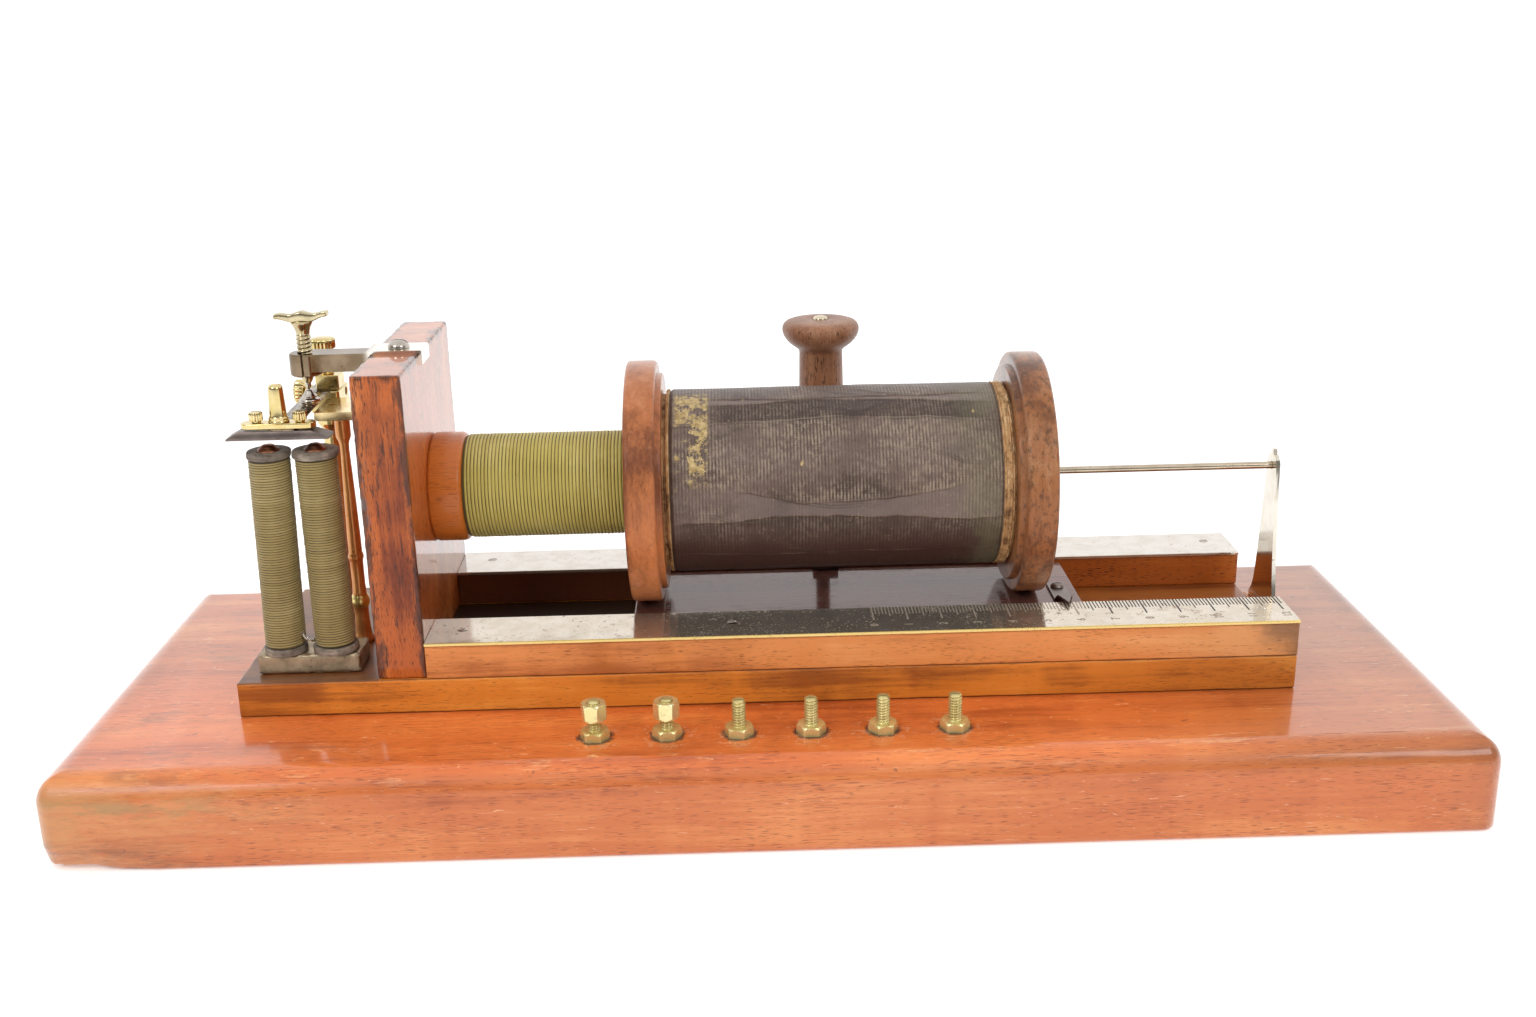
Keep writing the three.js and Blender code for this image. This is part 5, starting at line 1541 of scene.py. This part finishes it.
def cover():
    """Book cloth lapped round the coil, with folds whose lips stand up and die away."""
    lo, hi, R = COVER_LO, COVER_HI, COVER_R
    L = hi[0] - lo[0]
    along_x, around = 300, 640
    xs = np.linspace(lo[0], hi[0] - RING_SHOWS, along_x + 1)
    a = angles(around)
    X, A = np.meshgrid(xs, a, indexing="ij")
    u, deg = (X - lo[0]) / L, np.degrees(A)
    # crease marks hold painted shadow lines along the folds, lip marks a painted highlight, partly rubbed wear,
    # on their lips
    H, crease_shadow, lip_highlight_and_wear = np.zeros_like(X), np.zeros_like(X), np.zeros_like(X)
    glaze, dirt = np.full_like(X, 0.4), np.full_like(X, 0.1)
    bell = lambda d, width: np.exp(-(d / width) ** 2)
    lines = []
    for angle, sag, start, end, lip, reach, phase, shine, soil in LAPS:
        t = np.clip((u - start) / (end - start), 0, 1)
        line = angle + sag * np.sin(math.pi * t) + 1.2 * np.sin(7 * u + phase)
        line += 0.5 * np.sin(19 * u + 2 * phase) + 0.55 * np.abs(np.sin(13 * u + 3 * phase))
        line += 0.12 * np.sin(71 * u + phase)
        line += 0.30 * np.sin(37 * u + 4 * phase) * np.sin(5 * u + phase) + 0.16 * np.sin(101 * u + 3 * phase)
        lines.append((line, np.clip(np.sin(math.pi * t) * 3.0, 0, 1), lip, reach, phase, shine, soil))
    for (line, present, lip, reach, phase, shine, soil), (after, *_) in zip(lines, lines[1:] + lines[:1]):
        d = (deg - line + 180) % 360 - 180
        H += lip * np.where(d < 0, bell(d, reach), bell(d, 0.5)) * present
        broken = 0.55 + 0.45 * np.sin(31 * u + 5 * phase) * np.sin(11 * u + phase)
        crease_shadow = np.maximum(crease_shadow, bell(d - 0.5, 0.5) * present * broken)
        lip_highlight_and_wear = np.maximum(lip_highlight_and_wear, bell(d + 0.3, 0.4) * present)
        past = (deg - line) % 360
        inside = np.clip(past / 1.2, 0, 1) * np.clip(((after - deg) % 360) / 1.2, 0, 1)
        inside = inside * (past < ((after - line) % 360)) * present
        glaze += (shine - glaze) * inside
        dirt += (soil - dirt) * inside
    for u0, d0, u1, d1 in PULLS:
        ax, ay = (u - u0) * L, np.radians((deg - d0 + 180) % 360 - 180) * R
        bx, by = (u1 - u0) * L, math.radians(d1 - d0) * R
        t = np.clip((ax * bx + ay * by) / (bx * bx + by * by), 0, 1)
        off = np.hypot(ax - bx * t, ay - by * t + 0.5 * np.sin(9 * t))
        fade = np.sin(math.pi * np.clip(t, 0.02, 0.98)) ** 0.6
        H += 0.16 * bell(off, 0.9) * fade
        crease_shadow = np.maximum(crease_shadow, 0.7 * bell(off - 0.35, 0.22) * fade)
        lip_highlight_and_wear = np.maximum(lip_highlight_and_wear, 0.8 * bell(off, 0.25) * fade)
    # slack puckers along the coil, oblique ones, and a rib of the weave
    H += 0.10 * np.sin(3 * A + 5 * u) * np.sin(math.pi * u)
    H += 0.07 * np.sin(7 * A - 9 * u + 1) * np.sin(11 * u + 2 * np.sin(3 * A))
    H += 0.035 * np.sin(TAU * (X - lo[0]) / 0.98 + 0.8 * np.sin(7 * A)) * (1 - 0.75 * glaze)
    # the ends roll in over the rings, and are frayed
    edge = np.minimum(X - lo[0], xs[-1] - X)
    fray = 0.3 + 0.2 * np.sin(A * 41) * np.sin(A * 13 + 1)
    H -= 0.62 + 0.7 * np.clip(1 - edge / (0.8 + fray), 0, 1) ** 2

    def wrapped(x, r, a):
        return np.stack([x, COVER_C[1] - r * np.sin(a), COVER_C[2] + r * np.cos(a)], -1).reshape(-1,
                                                                                                 3).tolist()

    verts = wrapped(X, R + np.clip(H, -1.3, -0.03), A)
    faces = sheet_faces(along_x + 1, around)
    left, right = len(verts), len(verts) + around
    for x in (xs[0], xs[-1]):
        verts += wrapped(np.full(around, x), R - 1.1, a)
    end = along_x * around
    for j, k in neighbours(around):
        faces += [(left + j, left + k, k, j), (end + j, end + k, right + k, right + j),
                  (right + j, right + k, left + k, left + j)]
    ob = look("secondary_cover", (verts, faces), M["cloth"], 80)
    for name, grid in (("crease_shadow", crease_shadow), ("lip", lip_highlight_and_wear), ("glaze", glaze), ("dirt", dirt)):
        paint(ob, name, np.concatenate([grid.ravel(), np.zeros(2 * around)]))


cover()


# ---- handle, pointer ----
refine("handle_arm", M["japan"], 0.25)
h = length_of("handle_rod")
turned("handle_rod", [(0, 0), (2.3, 0), (2.3, h - 0.75), (2.15, h - 0.45), (1.7, h - 0.2), (0.9, h - 0.04),
                      (0, h)], M["handle_rod"], 50, 48)
turned("handle_grip", [(2.4, 0), (5.2, 0), (6.0, 0.15), (6.6, 0.6), (6.95, 1.3), (7.05, 2.2), (7.0, 6),
                       (6.9, 12), (6.8, 17.6), (6.95, 18.3), (7.6, 18.95), (8.6, 19.7), (9.8, 20.6),
                       (10.9, 21.8), (11.6, 22.9), (12.0, 24.0), (12.1, 24.9), (12.0, 25.8), (11.6, 26.6),
                       (10.9, 27.2), (9.8, 27.6), (8.0, 27.85), (5.5, 28.0), (2.75, 28.0), (2.4, 27.7),
                       (2.4, 0)], M["grip"], 50, 96)
refine("pointer", M["iron"], 0.1)


def pointer_screw():
    lo, hi, c = box("pointer_screw")
    head = hi[2] - lo[2] - 1.4
    prof = [(0, 0), (1, 0)] + raised([(1, 0), (1.9, 0.02), (2, 0.15), (1.95, 0.5), (1.6, 0.95), (1.0, 1.25),
                                      (0, 1.38)], head)
    ob = turned("pointer_screw", prof, M["iron"], 50, 40)
    slot_across(ob, c, 3, 0.28, lo[2] + head + 0.85, lo[2] + head + 3)


pointer_screw()


# ---- terminals ----
def terminals():
    z = BASE_HI[2]
    turns = (0.10, -0.06, 0.22, 0.03, -0.14, 0.12)
    for i, turn in enumerate(turns, 1):
        node = f"terminal_{i}"
        _, hi, c = box(node)
        top, at = hi[2], (c[0], c[1], 0)
        stud = helix_skin(1.95, z - 8, top - 0.55, 0.80, 0.40, 48, 10, "z", at, "vee")
        dome = revolve(raised([(0, -0.7), (1.8, -0.7), (1.75, -0.42), (1.4, -0.14), (0.8, -0.02), (0, 0)],
                              top), 40, at=at)
        nut = hex_body(4.25, z + 0.02, z + 2.5, 1.7, 0.6, at, turn)
        look(node, merge(stud, dome, nut), M["terminal"], 35)
    for i in (1, 2):
        node = f"clamp_nut_{i}"
        lo, hi, c = box(node)
        nut = hex_body(3.75, lo[2] + 1.2, hi[2], 1.8, 0.7, (c[0], c[1], 0), turns[i + 1], lower=True)
        look(node, nut, M["nut_brass"], 35)


terminals()


# ---- floor, light, camera ----
def floor():
    half = 12.0
    me = bpy.data.meshes.new("floor")
    me.from_pydata([(-half, -half, 0), (half, -half, 0), (half, half, 0), (-half, half, 0)], [],
                   [(0, 1, 2, 3)])
    ob = place("floor", me)
    ob.location.z = -0.0002
    s = Shade("floor_paper")
    paper = s.ramp(s.noise(6, 3, 0.5), (0.3, (0.90, 0.90, 0.90)), (0.7, (0.93, 0.93, 0.93)))
    me.materials.append(s.done(Base_Color=paper, Roughness=0.8, Emission_Strength=0.3,
                               Emission_Color=(1, 1, 1)))
    ob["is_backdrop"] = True


floor()


def world():
    """A white tent: dimmer behind the camera, brightest at the back, even overhead."""
    w = bpy.data.worlds.new("tent")
    bpy.context.scene.world = w
    w.use_nodes = True
    tree = w.node_tree
    tree.nodes.clear()
    out, bg, co, sep, mix = (tree.nodes.new("ShaderNode" + kind) for kind in (
        "OutputWorld", "Background", "TexCoord", "SeparateXYZ", "Mix"))
    tree.links.new(co.outputs["Generated"], sep.inputs[0])

    def eased(axis, *ends):
        n = tree.nodes.new("ShaderNodeMapRange")
        n.interpolation_type = "SMOOTHSTEP"
        tree.links.new(sep.outputs[axis], n.inputs["Value"])
        for k, v in zip(("From Min", "From Max", "To Min", "To Max"), ends):
            n.inputs[k].default_value = v
        return n.outputs[0]

    back = eased("Y", -0.35, 0.3, 0.22, 1.22)
    tree.links.new(eased("Z", 0.3, 0.75, 0.0, 1.0), mix.inputs[0])
    tree.links.new(back, mix.inputs[2])
    mix.inputs[3].default_value = 1.12
    tree.links.new(mix.outputs[0], bg.inputs["Strength"])
    bg.inputs["Color"].default_value = (1, 1, 1, 1)
    tree.links.new(bg.outputs[0], out.inputs[0])


world()


def area(name, at, power):
    """A square lamp that looks at the object's foot."""
    aim = Vector((0, 0, 0.05))
    lamp = bpy.data.lights.new(name, "AREA")
    lamp.shape, lamp.size, lamp.energy = "SQUARE", 0.45, power
    ob = place(name, lamp)
    ob.location = at
    ob.rotation_euler = (aim - Vector(at)).to_track_quat("-Z", "Y").to_euler()


area("front_left", (-0.75, -0.9, 0.85), 4.5)
area("front_right", (0.8, -0.9, 0.8), 3.5)


def camera():
    pitch, yaw, roll = (math.radians(a) for a in (17.762, 0.936, -1.205))
    ahead = Vector((math.sin(yaw) * math.cos(pitch), math.cos(yaw) * math.cos(pitch), -math.sin(pitch)))
    level = Vector((math.cos(yaw), -math.sin(yaw), 0))
    upright = level.cross(ahead)
    right = level * math.cos(roll) + upright * math.sin(roll)
    up = upright * math.cos(roll) - level * math.sin(roll)
    cam = place("camera", bpy.data.cameras.new("camera"))
    m = Matrix((right, up, -ahead)).transposed().to_4x4()
    m.translation = Vector((-0.00648, -0.464193, 0.223425))
    cam.matrix_world = m
    cam.data.sensor_width, cam.data.lens = 36, 37.79
    cam.data.clip_start, cam.data.clip_end = 0.01, 20
    bpy.context.scene.camera = cam


camera()
bpy.context.scene.view_settings.view_transform = "Standard"
bpy.context.scene.view_settings.look = "None"

lo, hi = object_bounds()
